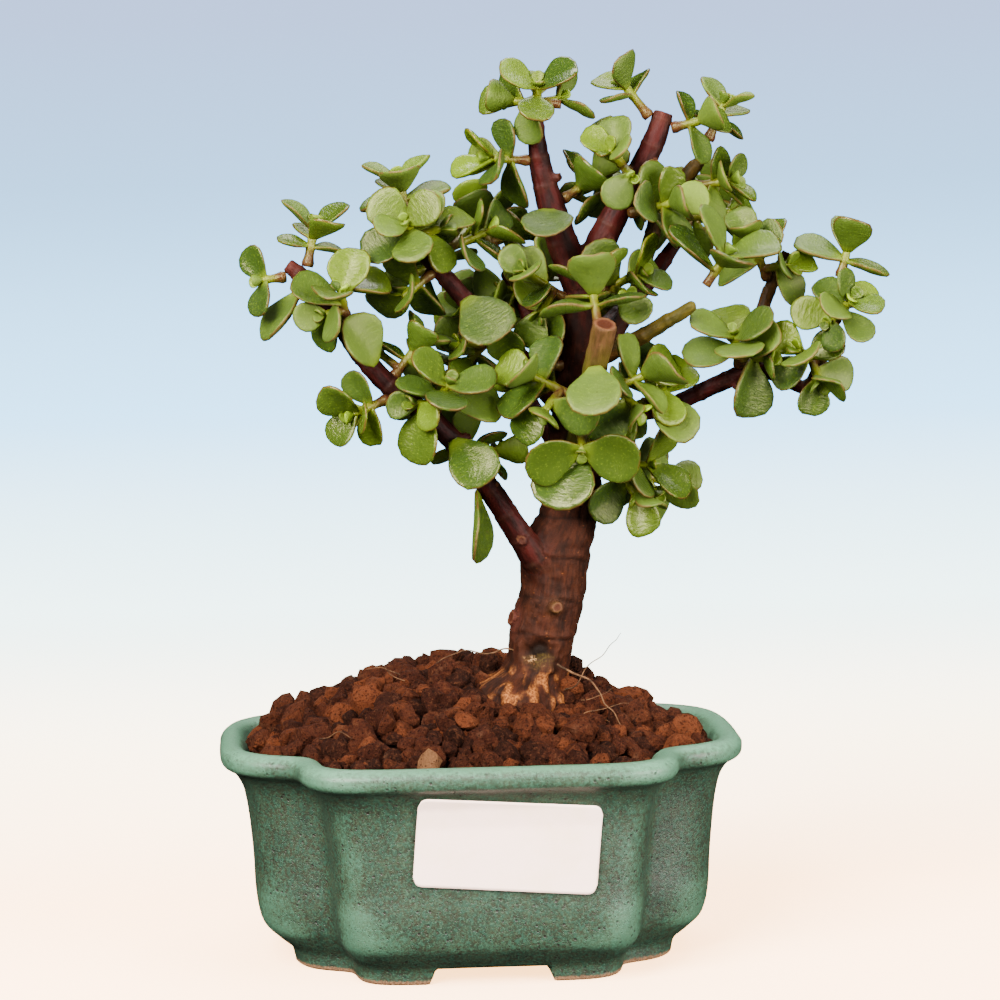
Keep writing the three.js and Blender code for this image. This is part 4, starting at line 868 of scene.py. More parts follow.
def build_wood(settings):
    """Tubes along every limb's curve, made one skin so that their forks flow together, then pushed in and out in
    millimetres: rings and fissures on old bark, fine wrinkles and leaf rings on the limbs, flakes round the foot, a
    rotted hollow and a dished face on each cut end."""
    made = limbs(settings)
    tubes = [capped(tube(path, radius, LIMB_SIDES)) for _, path, radius in made]
    points, faces, normals = remeshed(*joined(tubes), settings.voxel, smoothing=4)
    number, along, side, other, radius, length = nearest_limb(points, made).T
    names = np.array([name for name, _, _ in made])[number.astype(int)]
    old = smooth((radius - 3.6 * MM) / (3.5 * MM))
    cut_limb = np.isin(names, PRUNED + ("stub",))
    cut = cut_limb * smooth((along - length + 0.25 * MM) / (0.3 * MM))
    spread = np.hypot(side, other) / np.maximum(radius, MM / 2)

    lengthwise = np.stack([side, other, along / 4], axis=1) + number[:, None] * 0.05
    fissures = -np.abs(noise(lengthwise, 1.6 * MM, 21)) + 0.35
    lumps = rough_noise(points, 5 * MM, 22)
    push = old * (0.2 * fissures + 0.45 * lumps + 0.2 * noise(points, 0.9 * MM, 23))
    push += (1 - old) * (0.16 * noise(lengthwise, 0.8 * MM, 24) + 0.14 * noise(points, 2.4 * MM, 25))
    from_ring, from_scar = leaf_rings(along, number, lengthwise), trunk_scars(points)
    rings = ridge(from_ring, 0.55 * MM, 0.6, 1.2 * MM, 0.5 * MM)
    push += rings * (1 - old) * 0.14 * (names != "front_stem")
    rings = ridge(from_scar, 0.8 * MM, 0.9, -1.5 * MM, 0.7 * MM)
    push += old * 0.3 * rings * smooth(0.5 + noise(points, 6 * MM, 31))

    # Flakes of loose bark round the foot
    push += foot_swelling(points) * (number == 0)
    flaky = smooth((81 * MM - points[:, 2] + 3 * MM * noise(points, 5 * MM, 32)) / (5 * MM)) * old
    flakes = smooth((noise(points * [1, 1, 0.5], 1.7 * MM, 28) + 0.12) / 0.3)
    push += flaky * 0.8 * (flakes - 0.4)

    # The hollow where a limb rotted out: an oval bowl with a rolled lip
    away = (points - HOLLOW_SCAR["middle"]) / [HOLLOW_SCAR["wide"], 5 * MM, HOLLOW_SCAR["tall"]]
    oval = np.linalg.norm(away, axis=1) * (1 + 0.2 * noise(points, 2.5 * MM, 29))
    push += -HOLLOW_SCAR["deep"] / MM * smooth((1 - oval) / 0.6) + 0.5 * bell(oval - 1.15, 0.22)
    push = push * (1 - cut) - cut * 0.45 * (1 - np.minimum(spread, 1) ** 2)

    dry_reach = np.where(names == "front_stem", 16 * MM, 4 * MM)  # of bare dry wood behind a cut
    dry = cut_limb * smooth((along - length + dry_reach) / (0.75 * dry_reach))
    age = limb_age(names, np.clip(along / length, 0, 1))
    bark_place = np.stack([side, other, along], axis=1) + number[:, None] * 0.013
    old, age, dry = blended(np.stack([old, age, dry], axis=1), faces, BLENDING).T
    ring = np.where(old > 0.5, bell(from_scar + 1.2 * MM, 0.4 * MM), bell(from_ring, 0.8 * MM))
    return add_piece("bark_wood", points + normals * (push * MM)[:, None], faces, bark(settings), "bark", {
        "old": old, "age": age, "dry": dry, "ring": ring, "cut": cut, "spread": spread,
        "scar": smooth(1.25 - oval), "scar_up": away[:, 2], "bark_place": bark_place, "flake": flaky * flakes,
    }, ["trunk_and_branches"])


def bark(settings):
    """Red-brown bark streaked lengthwise, with dark rings, orange flecks and rusty flakes; smooth dark red on limbs,
    yellow-green on young stems, pink-edged rusty wood on cut ends, and an olive hollow with cream spots, its upper
    inside painted near black as the shade under its lip."""
    skin = Finish("bark", Specular_IOR_Level=0.06)
    place = skin.place()
    lengthwise = skin.attribute("bark_place", "Vector")
    streak = skin.noise(skin.stretch(lengthwise, (1, 1, 0.16)), 0.8 * MM, 4, 0.65)
    wide = skin.noise(skin.stretch(lengthwise, (1, 1, 0.3)), 3.2 * MM, 3, 0.6)
    grit = skin.noise(place, 0.6 * MM, 3, 0.65)
    patch = skin.noise(place, 5 * MM, 3, 0.6)
    old, age, dry, ring, cut, spread, scar, scar_up, flake = (skin.attribute(name) for name in (
        "old", "age", "dry", "ring", "cut", "spread", "scar", "scar_up", "flake"))
    fleck = skin.cells(skin.stretch(place, (1, 1, 1.8)), 2.6 * MM).rise(0.15, 0.08) * patch.rise(0.42, 0.58)
    trunk = skin.coats(skin.mix(wide.rise(0.35, 0.65), paint(23, 9, 4), settings.bark), [
        [patch.rise(0.48, 0.62) * 0.4, (54, 25, 12)],
        [streak.rise(0.5, 0.68) * 0.35, (60, 29, 14)],
        [streak.rise(0.46, 0.32) * 0.5, (15, 6, 3)],
        [ring * 0.6, (10, 5, 3)],
        [fleck * 0.5, (110, 60, 28)],
    ])
    limb = skin.coats(skin.mix(wide.rise(0.35, 0.65), paint(20, 6, 5), settings.limb), [
        [streak.rise(0.54, 0.72) * 0.35, (48, 21, 13)],
        [ring * 0.25, (48, 27, 18)],
        [patch.rise(0.58, 0.72) * 0.2, (48, 33, 18)],
    ])
    young = skin.coats(skin.between(wide.rise(0.4, 0.62), (52, 52, 13), (70, 70, 17)), [
        [streak.rise(0.55, 0.72) * 0.35, (74, 40, 14)]])
    lichen = skin.coats(skin.between(grit.rise(0.45, 0.6), (34, 24, 9), (56, 44, 17)), [
        [patch.rise(0.58, 0.63) * grit.rise(0.46, 0.54), (138, 104, 66)]])
    heart = skin.coats(skin.between(spread.rise(0.5, 0.85), (48, 20, 11), (84, 52, 34)), [
        [grit.rise(0.45, 0.3) * 0.5, (36, 13, 8)]])
    base = skin.coats(skin.mix(old, limb, trunk), [
        [(1 - age) * (1 - old), young],
        [dry * 0.55, skin.between(streak.rise(0.35, 0.65), (54, 24, 18), (84, 46, 36))],
        [flake * wide.rise(0.36, 0.5), skin.between(grit.rise(0.35, 0.65), (60, 27, 10), (120, 72, 32))],
        # In the hollow the upper inside is painted near black as shade under its lip; the lower part is lichen
        [scar, skin.mix((scar_up + (patch - 0.5) * 0.8).rise(0.02, -0.3), paint(14, 7, 4), lichen)],
        [cut, heart],
    ])
    skin.relief(streak * 0.7 + grit * 0.4 + ring * 0.15, 0.3 * MM)
    return skin.set(Base_Color=base, Roughness=0.48 + old * 0.22 + dry * 0.1 + (grit - 0.5) * 0.2)


# ---------------------------------------------------------------- fine roots

ROOT_SIDES = 7
# Points in millimetres, then the root's radius at its foot
ROOTS = [
    [[14, -1, 84], [9, -2, 86], [2, -1.5, 85], [-4, -2, 86], [-9, -3, 84.4], [-12, -4, 83], 0.45],
    [[25, -4, 74], [28.5, -7, 77], [33, -8, 83], [38, -8, 88], [41, -8, 91.5], 0.35],
    [[22, -7, 82.5], [26, -9, 80.5], [31, -12, 78], [34.5, -16, 73.5], [37.5, -19, 69], [39, -21, 66.5], 0.6],
    [[-20, -3, 79], [-24, -4, 81], [-28, -5, 82.4], [-32, -6, 81.8], 0.3],
    [[-21, -6, 78.5], [-25, -5, 80.2], [-27, -3, 83], 0.25],
    [[26, -10, 68], [30, -14, 69.5], [36, -15, 71], [42, -13, 71.5], 0.3],
    [[20, -11, 66.5], [24, -16, 67.5], [31, -20, 68.6], [35, -25, 68.2], 0.28],
    [[29, -6, 71.5], [34, -8, 73.5], [39, -6, 75], 0.22],
    [[-46, -30, 66.5], [-41, -35, 69], [-37, -38, 68], 0.3],
    [[14, -9, 70], [10, -14, 71], [4, -19, 71.5], [-2, -22, 71.2], 0.35],
]


def build_roots(settings):
    """Fine roots on the soil: tubes along smooth curves that narrow to their tips, kinked by noise."""
    parts = []
    for *points, radius in ROOTS:
        points = np.array(points) * MM
        path = curve(points, np.linspace(0, len(points) - 1, 12 * len(points)))
        drift = np.stack([noise(path, 4 * MM, 30 + k) for k in range(3)], axis=1)
        path = path + drift * 0.7 * MM
        taper = radius * MM * settings.root_width * np.linspace(1, 0.35, len(path))
        parts.append(capped(tube(path, taper, ROOT_SIDES)))
    skin = Finish("root_skin", Roughness=0.8, Specular_IOR_Level=0.1)
    cloud = skin.noise(skin.place(), 3 * MM, 3)
    base = skin.mix(cloud.rise(0.35, 0.65), paint(36, 24, 14), settings.root)
    skin.relief(cloud, 0.1 * MM)
    return add_piece("fine_roots", *joined(parts), skin.set(Base_Color=base), "bark")


# ---------------------------------------------------------------- the shoots


def merged(node):
    """A solid's points, in the pot's frame and without the doubles of its loose triangles, and its triangles."""
    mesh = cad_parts[node].data
    mesh.calc_loop_triangles()
    points = np.empty(len(mesh.vertices) * 3, np.float32)
    mesh.vertices.foreach_get("co", points)
    corners = np.empty(len(mesh.loop_triangles) * 3, np.int32)
    mesh.loop_triangles.foreach_get("vertices", corners)
    unique, place = np.unique(points.reshape(-1, 3).round(6), axis=0, return_inverse=True)
    return unique - POT_MIDDLE, place.ravel()[corners].reshape(-1, 3)


def read_leaves(points, rings):
    """A solid shoot's leaves, each [foot, way it points, way it faces, length], and the points that they use. A
    leaf's two middles are the points where eight triangles meet over the same six rim points, a leaf's thickness
    apart. Its rim gives its length and the way it points, and its raised sides tell its upper face."""
    leaves, used = [], set()
    for one, other in combinations([p for p, ring in enumerate(rings) if len(ring) == 8], 2):
        rim = set(rings[one]) & set(rings[other])
        apart = points[one] - points[other]
        if len(rim) != 6 or abs(np.linalg.norm(apart) - LEAF["thick"]) > CLOSE:
            continue
        root = points[sorted((set(rings[one]) | set(rings[other])) - rim - {one, other})].mean(axis=0)
        rim_points = points[sorted(rim)]
        shoulders, sides, tips = rim_points[np.argsort(np.linalg.norm(rim_points - root, axis=1))].reshape(3, 2, 3)
        middle = (points[one] + points[other]) / 2
        face = unit(apart)
        face = face * np.sign((sides.mean(axis=0) - middle) @ face)
        along = tips.mean(axis=0) - shoulders.mean(axis=0)
        along = along - (along @ face) * face
        length = np.linalg.norm(along) / (LEAF["tip"] - LEAF["shoulder"])
        point = unit(along)
        foot = middle + (LEAF["droop"] * LEAF["middle"] ** 2 * face - LEAF["middle"] * point) * length
        leaves.append(np.concatenate([foot, point, face, [length]]))
        used |= rim | {one, other}
    return np.array(leaves).reshape(-1, 10), used


def read_stems(points, rings, bare):
    """A solid shoot's stems as [foot, tip, is main], the main one first. A bud stands over the four corners of a
    square, on a line back to its foot: the square there if it is the main one, or that one's line if it is a fork,
    at the place on its own line that is nearest to the main one's."""
    stems = []
    for tip, ring in zip(points, rings):
        square = points[ring]
        along = tip - square.mean(axis=0)
        level = np.ptp(np.linalg.norm(square - tip, axis=1)) < CLOSE
        if len(ring) != 4 or not level or abs(np.linalg.norm(along) - BUD) > CLOSE:
            continue
        axis = unit(along)
        back = (tip - bare) @ axis
        near = np.linalg.norm(bare - tip + back[:, None] * axis, axis=1) < 2.2 * MM
        reach = back[near].max()
        stems.append([tip - reach * axis, tip, np.sum(near & (back > reach - CLOSE)) == 4])
    stems.sort(key=lambda stem: not stem[2])
    for stem in stems[1:]:
        main = unit(stems[0][1] - stems[0][0])
        axis = unit(stem[1] - stem[0])
        apart = stem[1] - stems[0][1]
        cosine = axis @ main
        stem[0] = stem[1] + (cosine * (main @ apart) - axis @ apart) / (1 - cosine**2) * axis
        stem[2] = False
    return stems


def read_shoot(node):
    """A solid shoot as [stem, leaves] for each stem, with each leaf on the nearest stem and in order from its foot,
    or as [None, leaves] for a leaf straight from the wood."""
    points, triangles = merged(node)
    rings = [sorted(set(triangles[(triangles == p).any(axis=1)].ravel().tolist()) - {p}) for p in range(len(points))]
    leaves, used = read_leaves(points, rings)
    stems = read_stems(points, rings, points[[p for p in range(len(points)) if p not in used]])
    if not stems:
        return [[None, leaves]]
    offset = np.array([leaves[:, :3] - foot for foot, _, _ in stems])
    axes = np.array([unit(tip - foot) for foot, tip, _ in stems])
    reach = np.clip(np.einsum("sli,si->sl", offset, axes), 0, None)
    owner = np.linalg.norm(offset - reach[..., None] * axes[:, None], axis=2).argmin(axis=0)
    return [[stem, leaves[owner == k][np.argsort(reach[k][owner == k])]] for k, stem in enumerate(stems)]


def half_width(along, waist, roundness):
    """Half a leaf's width, over its length: a sine's rise from the stalk to the waist, then a rounded end,
    (1 - t^roundness)^(1 / roundness)."""
    widest, stalk = LEAF["width"] / 2, 0.085
    below = stalk + (widest - stalk) * np.sin(math.pi / 2 * np.clip(along / waist, 0, 1)) ** 1.25
    t = np.clip((along - waist) / (1 - waist), 0, 1)
    above = widest * (1 - t**roundness) ** (1 / roundness)
    return np.where(along < waist, below, above)


# Rings of a leaf's skin from its underside over the rim to its upper face: [share of the way to the rim, side]
LEAF_RINGS = np.array([[0.36, -1], [0.7, -1], [0.93, -1], [1, 0], [0.955, 1], [0.86, 1], [0.64, 1], [0.34, 1]])
LEAF_HEART = 0.56  # where along a leaf the rings are centred
HALVINGS = 24  # of the step in which a ray's crossing with the rim is sought
STEM_SIDES = 10


def leaf_rims(angle, waist, roundness):
    """How far rays from a leaf's middle, at angles from the way it points, run to its half width, by halving."""
    near, far = np.zeros((len(waist), len(angle))), np.full((len(waist), len(angle)), 0.75)
    for _ in range(HALVINGS):
        ray = (near + far) / 2
        along, across = LEAF_HEART + ray * np.cos(angle), np.abs(ray * np.sin(angle))
        inside = (along > 0) & (along < 1) & (across < half_width(along, waist, roundness))
        near, far = np.where(inside, ray, near), np.where(inside, far, ray)
    return near


def leaf_skins(leaves, rng, settings):
    """Skins of many leaves at once, each of rings about its middle. The upper face is nearly flat and dished, the
    under face a bowl, and the whole is laid on a sheet that is cupped, folded along the middle, twisted and bent
    down to the tip."""
    count = len(leaves)
    foot, point, face, length = leaves[:, :3], leaves[:, 3:6], leaves[:, 6:9], leaves[:, 9]
    side = np.cross(face, point)

    def drawn(low, high):
        return rng.uniform(low, high, (count, 1))

    waist, roundness = drawn(0.58, 0.7), drawn(1.9, 2.6)
    notch = np.maximum(drawn(-0.12, 0.09), 0)
    pointed = np.maximum(drawn(-0.05, 0.03), 0)
    fold = np.maximum(drawn(-0.12, 0.3), 0)
    bend, twist, dish = drawn(-0.04, 0.07), drawn(-0.12, 0.12), drawn(0.05, 0.5)
    lean = drawn(-0.05, 0.05)

    u = np.linspace(0, 2 * math.pi, settings.leaf_columns, endpoint=False)
    angle = u + 0.4 * np.sin(u)  # closer together at the stalk
    from_tip = (angle + math.pi) % (2 * math.pi) - math.pi
    rim = leaf_rims(angle, waist, roundness)
    rim = rim * (1 - notch * bell(from_tip, 0.28) + pointed * bell(from_tip, 0.16))
    rim = rim * (1 + 0.018 * np.sin(3 * angle + drawn(0, 6)) + 0.012 * np.sin(5 * angle + drawn(0, 6)))

    share, top = LEAF_RINGS[:, 0][:, None], LEAF_RINGS[:, 1][:, None]
    along = LEAF_HEART + rim[:, None] * share * np.cos(angle)  # [leaf, ring, column]
    across = rim[:, None] * share * np.sin(angle) + lean[:, None] * smooth(along) ** 2
    thick = (settings.leaf_thickness * rng.uniform(0.85, 1.15, count) * np.sqrt(length / (13 * MM)))[:, None, None]
    over = 0.4 * thick * np.sqrt(1 - share**5) - dish[:, None] * MM * np.maximum(1 - (share / 0.86) ** 2, 0)
    under = -0.6 * thick * np.sqrt(1 - share**2.6)
    height = np.where(top > 0, over, np.where(top < 0, under, 0))
    long = length[:, None, None]
    width = LEAF["width"] * long
    crossing = across * long
    crease = 0.05 * long
    lift = LEAF["cup"] * crossing**2 / width - LEAF["droop"] * along**2 * long
    lift = lift + fold[:, None] * (np.sqrt(crossing**2 + crease**2) - crease) * smooth(along * 3)
    lift = lift - bend[:, None] * along**2 * long + twist[:, None] * crossing * along
    flat = np.stack(np.broadcast_arrays(along * long, crossing, np.arange(count)[:, None, None] * 0.03), axis=-1)
    lift = lift + 0.22 * MM * noise(flat, 4 * MM, settings.seed)
    points = (foot[:, None, None] + (along * long)[..., None] * point[:, None, None]
              + crossing[..., None] * side[:, None, None] + (height + lift)[..., None] * face[:, None, None])
    skins, faces = capped(points)

    def spread(ring_values, pole_values):
        """Values on the rings and at the two poles, in the order of the points."""
        rings = np.broadcast_to(ring_values, along.shape).reshape(count, -1)
        return np.concatenate([rings, np.broadcast_to(pole_values, (count, 2))], axis=1).ravel()

    edge = np.where(top >= 0, share, 2 - share)
    sheet = np.stack([spread(along * long, LEAF_HEART * length[:, None]), spread(crossing, 0),
                      spread(np.arange(count)[:, None, None] * 0.03, np.arange(count)[:, None] * 0.03)], axis=1)
    return skins, faces, {"edge": spread(edge, [[2, 0]]), "along": spread(along, LEAF_HEART), "sheet": sheet,
                          "leaf": np.repeat(np.arange(count), skins.shape[0] // count)}


def bud_leaves(foot, tip, leaves, rng):
    """The two unopened leaves at a stem's tip, square to the last pair and leaning out from the stem."""
    along = unit(tip - foot)
    last = leaves[-1, 3:6] if len(leaves) else np.array([0.6, -0.8, 0])
    out = unit(np.cross(along, last - (last @ along) * along))
    pitch, length = rng.uniform(0.25, 0.75), rng.uniform(3.2, 5.2) * MM
    buds = []
    for way in (1, -1):
        point = along * math.cos(pitch) + way * out * math.sin(pitch)
        face = along * math.sin(pitch) - way * out * math.cos(pitch)
        buds.append(np.concatenate([tip - along * MM + way * out * 0.2 * MM, point, face, [length]]))
    return np.array(buds)


def stem_skin(foot, tip, is_main, leaves, settings):
    """A round stem from inside the bark, or from its main stem, to its bud: flared at its foot and swollen at each
    pair of leaves."""
    along = unit(tip - foot)
    length = np.linalg.norm(tip - foot)
    reach = np.linspace(-MM if is_main else 0, length, max(int(length / (0.9 * MM)), 8))
    path = foot + reach[:, None] * along
    nodes = np.append((leaves[:, :3] - foot) @ along, length)
    swell = bell(np.abs(reach[:, None] - nodes).min(axis=1), 0.8 * MM)
    share = np.clip(reach / length, 0, 1)
    flare = 0.35 * bell(reach, 1.2 * MM) if is_main else 0
    radius = settings.stem_radius * (1.12 - 0.3 * share + 0.22 * swell + flare)
    radius = radius * np.sqrt(np.clip((length - reach) / (1.6 * MM), 0.05, 1))
    points, faces = capped(tube(path, radius, STEM_SIDES))
    way = np.concatenate([np.repeat(share, STEM_SIDES), [0, 1]])
    return points, faces, {"edge": np.full(len(points), -1.0), "along": way, "sheet": points - foot}


def build_shoots(settings):
    """One piece for each solid shoot: its leaves, the two small ones at each tip, and its stems. `edge` is -1 on a
    stem and runs 0 to 1 to 2 from a leaf's upper middle over its rim to its lower middle. `tone` and `light` are
    drawn for each leaf: how yellow and how bright it is."""
    material = leaf_skin(settings)
    for number, node in enumerate(sorted(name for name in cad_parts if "_shoot_" in name)):
        rng = np.random.default_rng(settings.seed + number)
        twigs = read_shoot(node)
        grown, youth, parts, values = [], [], [], []
        for stem, leaves in twigs:
            buds = bud_leaves(*stem[:2], leaves, rng) if stem else leaves[:0]
            grown.append(np.concatenate([leaves, buds]))
            youth.append(np.linspace(0.1, 1, len(grown[-1])) ** 1.5)
        grown, youth = np.concatenate(grown), np.concatenate(youth)
        points, faces, value = leaf_skins(grown, rng, settings)
        leaf = value.pop("leaf")
        value["tone"] = np.clip(0.1 + 0.6 * youth + rng.uniform(-0.3, 0.3, len(grown)), 0, 1)[leaf]
        value["light"] = rng.uniform(0, 1, len(grown))[leaf]
        parts.append((points, faces))
        values.append(value)
        for stem, leaves in twigs:
            if stem:
                points, faces, value = stem_skin(*stem, leaves, settings)
                value.update(tone=np.full(len(points), rng.uniform()), light=np.full(len(points), 0.5))
                parts.append((points, faces))
                values.append(value)
        values = {key: np.concatenate([value[key] for value in values]) for key in values[0]}
        values["sheet"] = values["sheet"] + [0, 0, number * 0.31]
        add_piece(node.replace("_shoot_", "_spray_"), *joined(parts), material, "leaf", values, [node])


def leaf_skin(settings):
    """Fleshy leaves: green that is deeper, yellower or greyer from leaf to leaf, finely wrinkled and glossy above,
    duller and paler below, red-brown along the rim of most, with dark specks and now and then a brown scar. Their
    stems go from brown at the foot to green."""
    skin = Finish("leaf_skin", Specular_IOR_Level=settings.gloss, Specular_Tint=(1, 0.96, 0.5, 1),
                  Subsurface_Weight=settings.flesh, Subsurface_Scale=2 * MM, Subsurface_Radius=(0.9, 1.0, 0.25))
    edge, along, tone, light = (skin.attribute(name) for name in ("edge", "along", "tone", "light"))
    sheet = skin.attribute("sheet", "Vector")
    cloud = skin.noise(sheet, 4.5 * MM, 3, 0.6)
    fine = skin.noise(sheet, 0.7 * MM, 3, 0.6)
    wrinkle = skin.noise(skin.stretch(sheet, (2.4, 0.8, 1)), 1.9 * MM, 4, 0.6)
    matte = light.rise(0.66, 0.8)
    under = edge.rise(1.02, 1.12)
    line = edge.rise(0.94, 0.99) * edge.rise(1.08, 1.01)
    flush = line * skin.noise(sheet, 3.2 * MM, 2).rise(0.38, 0.5) * tone.rise(0.95, 0.45)
    specks = skin.cells(sheet, 2.6 * MM).rise(0.12, 0.06) * cloud.rise(0.5, 0.62)
    worn = skin.noise(sheet, 6 * MM, 4, 0.7).rise(0.7, 0.76) * light.rise(0.55, 0.4)
    stem = edge.rise(-0.4, -0.6)
    woody = skin.noise(sheet, 1.6 * MM, 3, 0.65)
    brown = skin.between(woody.rise(0.4, 0.6), (56, 28, 15), (68, 48, 20))
    green = skin.ramp(tone + (cloud - 0.5) * 0.35, [
        (0.0, settings.shade), (0.42, settings.green), (0.8, settings.bright),
        (1.0, paint(116, 142, 26))])
    base = skin.coats(green, [
        [matte * 0.5, (66, 86, 26)],
        [light.rise(0.35, 0.1) * 0.6, (36, 56, 16)],
        [fine.rise(0.55, 0.72) * 0.2, (128, 152, 20)],
        [fine.rise(0.42, 0.28) * 0.25, (36, 54, 10)],
        [under * 0.4, (62, 82, 20)],
        [along.rise(0.3, 0.06) * 0.4, (100, 116, 20)],
        [line * 0.1, (100, 116, 36)],
        [flush * 0.7, (70, 36, 20)],
        [specks * 0.7, (30, 32, 12)],
        [worn * 0.7, (85, 60, 28)],
        [stem, skin.coats(brown, [[(along + (woody - 0.5) * 0.5).rise(0.05, 0.75), (82, 92, 14)]])],
    ])
    skin.relief(wrinkle * (light.rise(0.9, 0.4) * 0.6 + 0.4) + fine * 0.15 + cloud * 0.3, settings.wrinkles)
    rough = 0.42 - light.rise(0.3, 0.6) * 0.27 + matte * 0.36 + under * 0.12 + worn * 0.2 + stem * 0.1
    return skin.set(Base_Color=base, Roughness=rough + (cloud - 0.5) * 0.15)


# ---------------------------------------------------------------- the stage


# The pale floor, which bends up into a wall far behind the tree, in metres
SWEEP = {"side": 8, "near": -8, "back": 3.0, "bend": 0.9, "top": 4.5}
GLOW_SPREAD = 0.9  # the glow changes by reach / (reach + this), so fast near the tree and slowly further back
# The view, as turns in degrees about the pot's middle and the point that it looks at
VIEW = {"yaw": 4.033, "elevation": 5.551, "roll": -0.849, "aim": MM * np.array([7.18, 0, 128.89]), "away": 0.9,
        "frame": 36, "lens": 3162.4 / 1000 * 36}
# Each lamp's name, the setting of its power, its place, its sides and its tint
LAMPS = [
    ["key_lamp", "key", (-0.62, -0.85, 0.7), (0.7, 0.7), (1, 0.95, 0.9)],
    ["fill_lamp", "fill", (0.9, -0.8, 0.35), (0.8, 0.8), (1, 0.95, 0.9)],
    ["back_lamp", "rim", (0.2, 0.55, 1.25), (1.0, 0.5), (1, 1, 1)],
    ["glint_lamp", "glint", (-0.35, -0.7, 1.25), (0.3, 0.12), (1, 0.98, 0.95)],
]
LAMP_AIM = [0, 0, 0.12]


def placed(name, data, axes, place):
    """Puts a camera or a lamp at a place, turned so that its own x, y and z lie along the axes."""
    holder = bpy.data.objects.new(name, data)
    bpy.context.scene.collection.objects.link(holder)
    turned = Matrix(np.stack(axes, axis=1).tolist()).to_4x4()
    turned.translation = place.tolist()
    holder.matrix_world = turned
    return holder


def build_sweep(settings):
    """A straight line, a quarter circle and a straight line, carried along X. Its glow changes with the distance
    along the sheet: warm by the tree, pale behind it, then blue, and grey-blue up the bend. Its own colour greys
    behind the tree as painted shade."""
    bend = np.linspace(0, math.pi / 2, 24)
    y = np.concatenate([[SWEEP["near"], 0], SWEEP["back"] - SWEEP["bend"] * (1 - np.sin(bend)), [SWEEP["back"]]])
    z = np.concatenate([[0, 0], SWEEP["bend"] * (1 - np.cos(bend)), [SWEEP["top"]]])
    x = np.linspace(-SWEEP["side"], SWEEP["side"], 7)
    points = np.stack(np.broadcast_arrays(x, y[:, None], z[:, None]), axis=-1)
    faces = grid_faces(len(y), len(x), wrap_columns=False)
    reach = np.cumsum(np.append(SWEEP["near"], np.hypot(np.diff(y), np.diff(z))))
    mesh = new_mesh("studio_sweep", points.reshape(-1, 3), faces, {"reach": np.repeat(reach, len(x))})
    sweep = bpy.data.objects.new("studio_sweep", mesh)
    bpy.context.scene.collection.objects.link(sweep)
    skin = Finish("studio_paper", Roughness=0.9, Specular_IOR_Level=0.1, Emission_Strength=settings.glow)
    reach = skin.attribute("reach").math("MAXIMUM", 0)
    glow = skin.ramp(reach * (reach + GLOW_SPREAD) ** -1, [(back / (back + GLOW_SPREAD), tone) for back, tone in [
        (0.067, settings.floor), (0.323, (0.75, 0.62, 0.42)), (0.762, (0.66, 0.9, 0.9)), (2.22, (0.2, 0.5, 0.8)),
        (2.4, (0.178, 0.437, 0.703)), (2.53, (0.155, 0.37, 0.6)), (2.736, settings.backdrop),
        (3.033, (0.115, 0.165, 0.288))]])
    # The paper greys from 0.3 to 0.76 m behind the tree: painted shade, so that it looks less lit there
    base = skin.mix(reach.rise(0.3, 0.76), settings.paper, paint(80, 84, 88))
    sweep.data.materials.append(skin.set(Base_Color=base, Emission_Color=glow))
    sweep.visible_diffuse = False  # its glow is for the view alone, so it casts no haze on the tree
    sweep.visible_glossy = False
    sweep.visible_shadow = False  # so the air also lights the tree from below, as a pale floor does


def build_stage(settings):
    """The sweep, a broad lamp over the front left, a weaker one at the right, one behind, a small one that leaves
    shine in, pale air and the camera."""
    build_sweep(settings)
    for name, power, place, sides, tint in LAMPS:
        light = bpy.data.lights.new(name, "AREA")
        light.shape = "RECTANGLE"
        light.size, light.size_y = sides
        light.energy = getattr(settings, power)
        light.color = tint
        back = unit(np.array(place) - LAMP_AIM)
        across = unit(np.cross([0, 0.001, 1], back))
        placed(name, light, [across, np.cross(back, across), back], np.array(place))
    world = bpy.data.worlds.new("pale_air")
    world.use_nodes = True
    air = world.node_tree.nodes["Background"].inputs
    air["Color"].default_value = (*settings.air, 1)
    air["Strength"].default_value = settings.air_strength
    world.cycles_visibility.glossy = False  # the air fills shadows without a veil on dark bark
    bpy.context.scene.world = world
    place_camera()


def place_camera():
    """The view, from in front, a little above and a little to one side."""
    yaw, elevation, roll = (math.radians(VIEW[key]) for key in ("yaw", "elevation", "roll"))
    turn = np.array([[math.cos(yaw), math.sin(yaw), 0], [-math.sin(yaw), math.cos(yaw), 0], [0, 0, 1]])
    back = turn @ [0, -math.cos(elevation), math.sin(elevation)]
    right = turn @ [1, 0, 0]
    up = np.cross(back, right)
    level = math.cos(roll) * right + math.sin(roll) * up
    camera = bpy.data.cameras.new("view")
    camera.sensor_width = VIEW["frame"]
    camera.lens = VIEW["lens"]
    axes = [level, math.cos(roll) * up - math.sin(roll) * right, back]
    bpy.context.scene.camera = placed("view", camera, axes, turn @ VIEW["aim"] + back * VIEW["away"] + POT_MIDDLE)


# ---------------------------------------------------------------- the add-on


def length(name, description, default):
    return number(name, description, default, unit="LENGTH", precision=5)


def number(name, description, default, **more):
    return FloatProperty(name=name, description=description, default=default, min=0, **more)


def colour(name, description, default):
    return FloatVectorProperty(name=name, description=description, default=default, subtype="COLOR", size=3,
                               min=0, max=1)


class PotSettings(PropertyGroup):
    columns: IntProperty(name="Columns", description="Points round the pot", default=360, min=40)
    unevenness: length("Unevenness", "How far the clay's clouds let the wall in", 0.25 * MM)
    colour: colour("Glaze", "The glaze's lighter clouds", paint(37, 49, 35))
    deep: colour("Deep glaze", "The glaze's darker clouds", paint(27, 40, 29))
    # The thin glaze's colour is also used for the painted highlight along the lip's top
    rim: colour("Thin glaze", "Where the glaze runs thin over rim and ribs", paint(72, 114, 88))


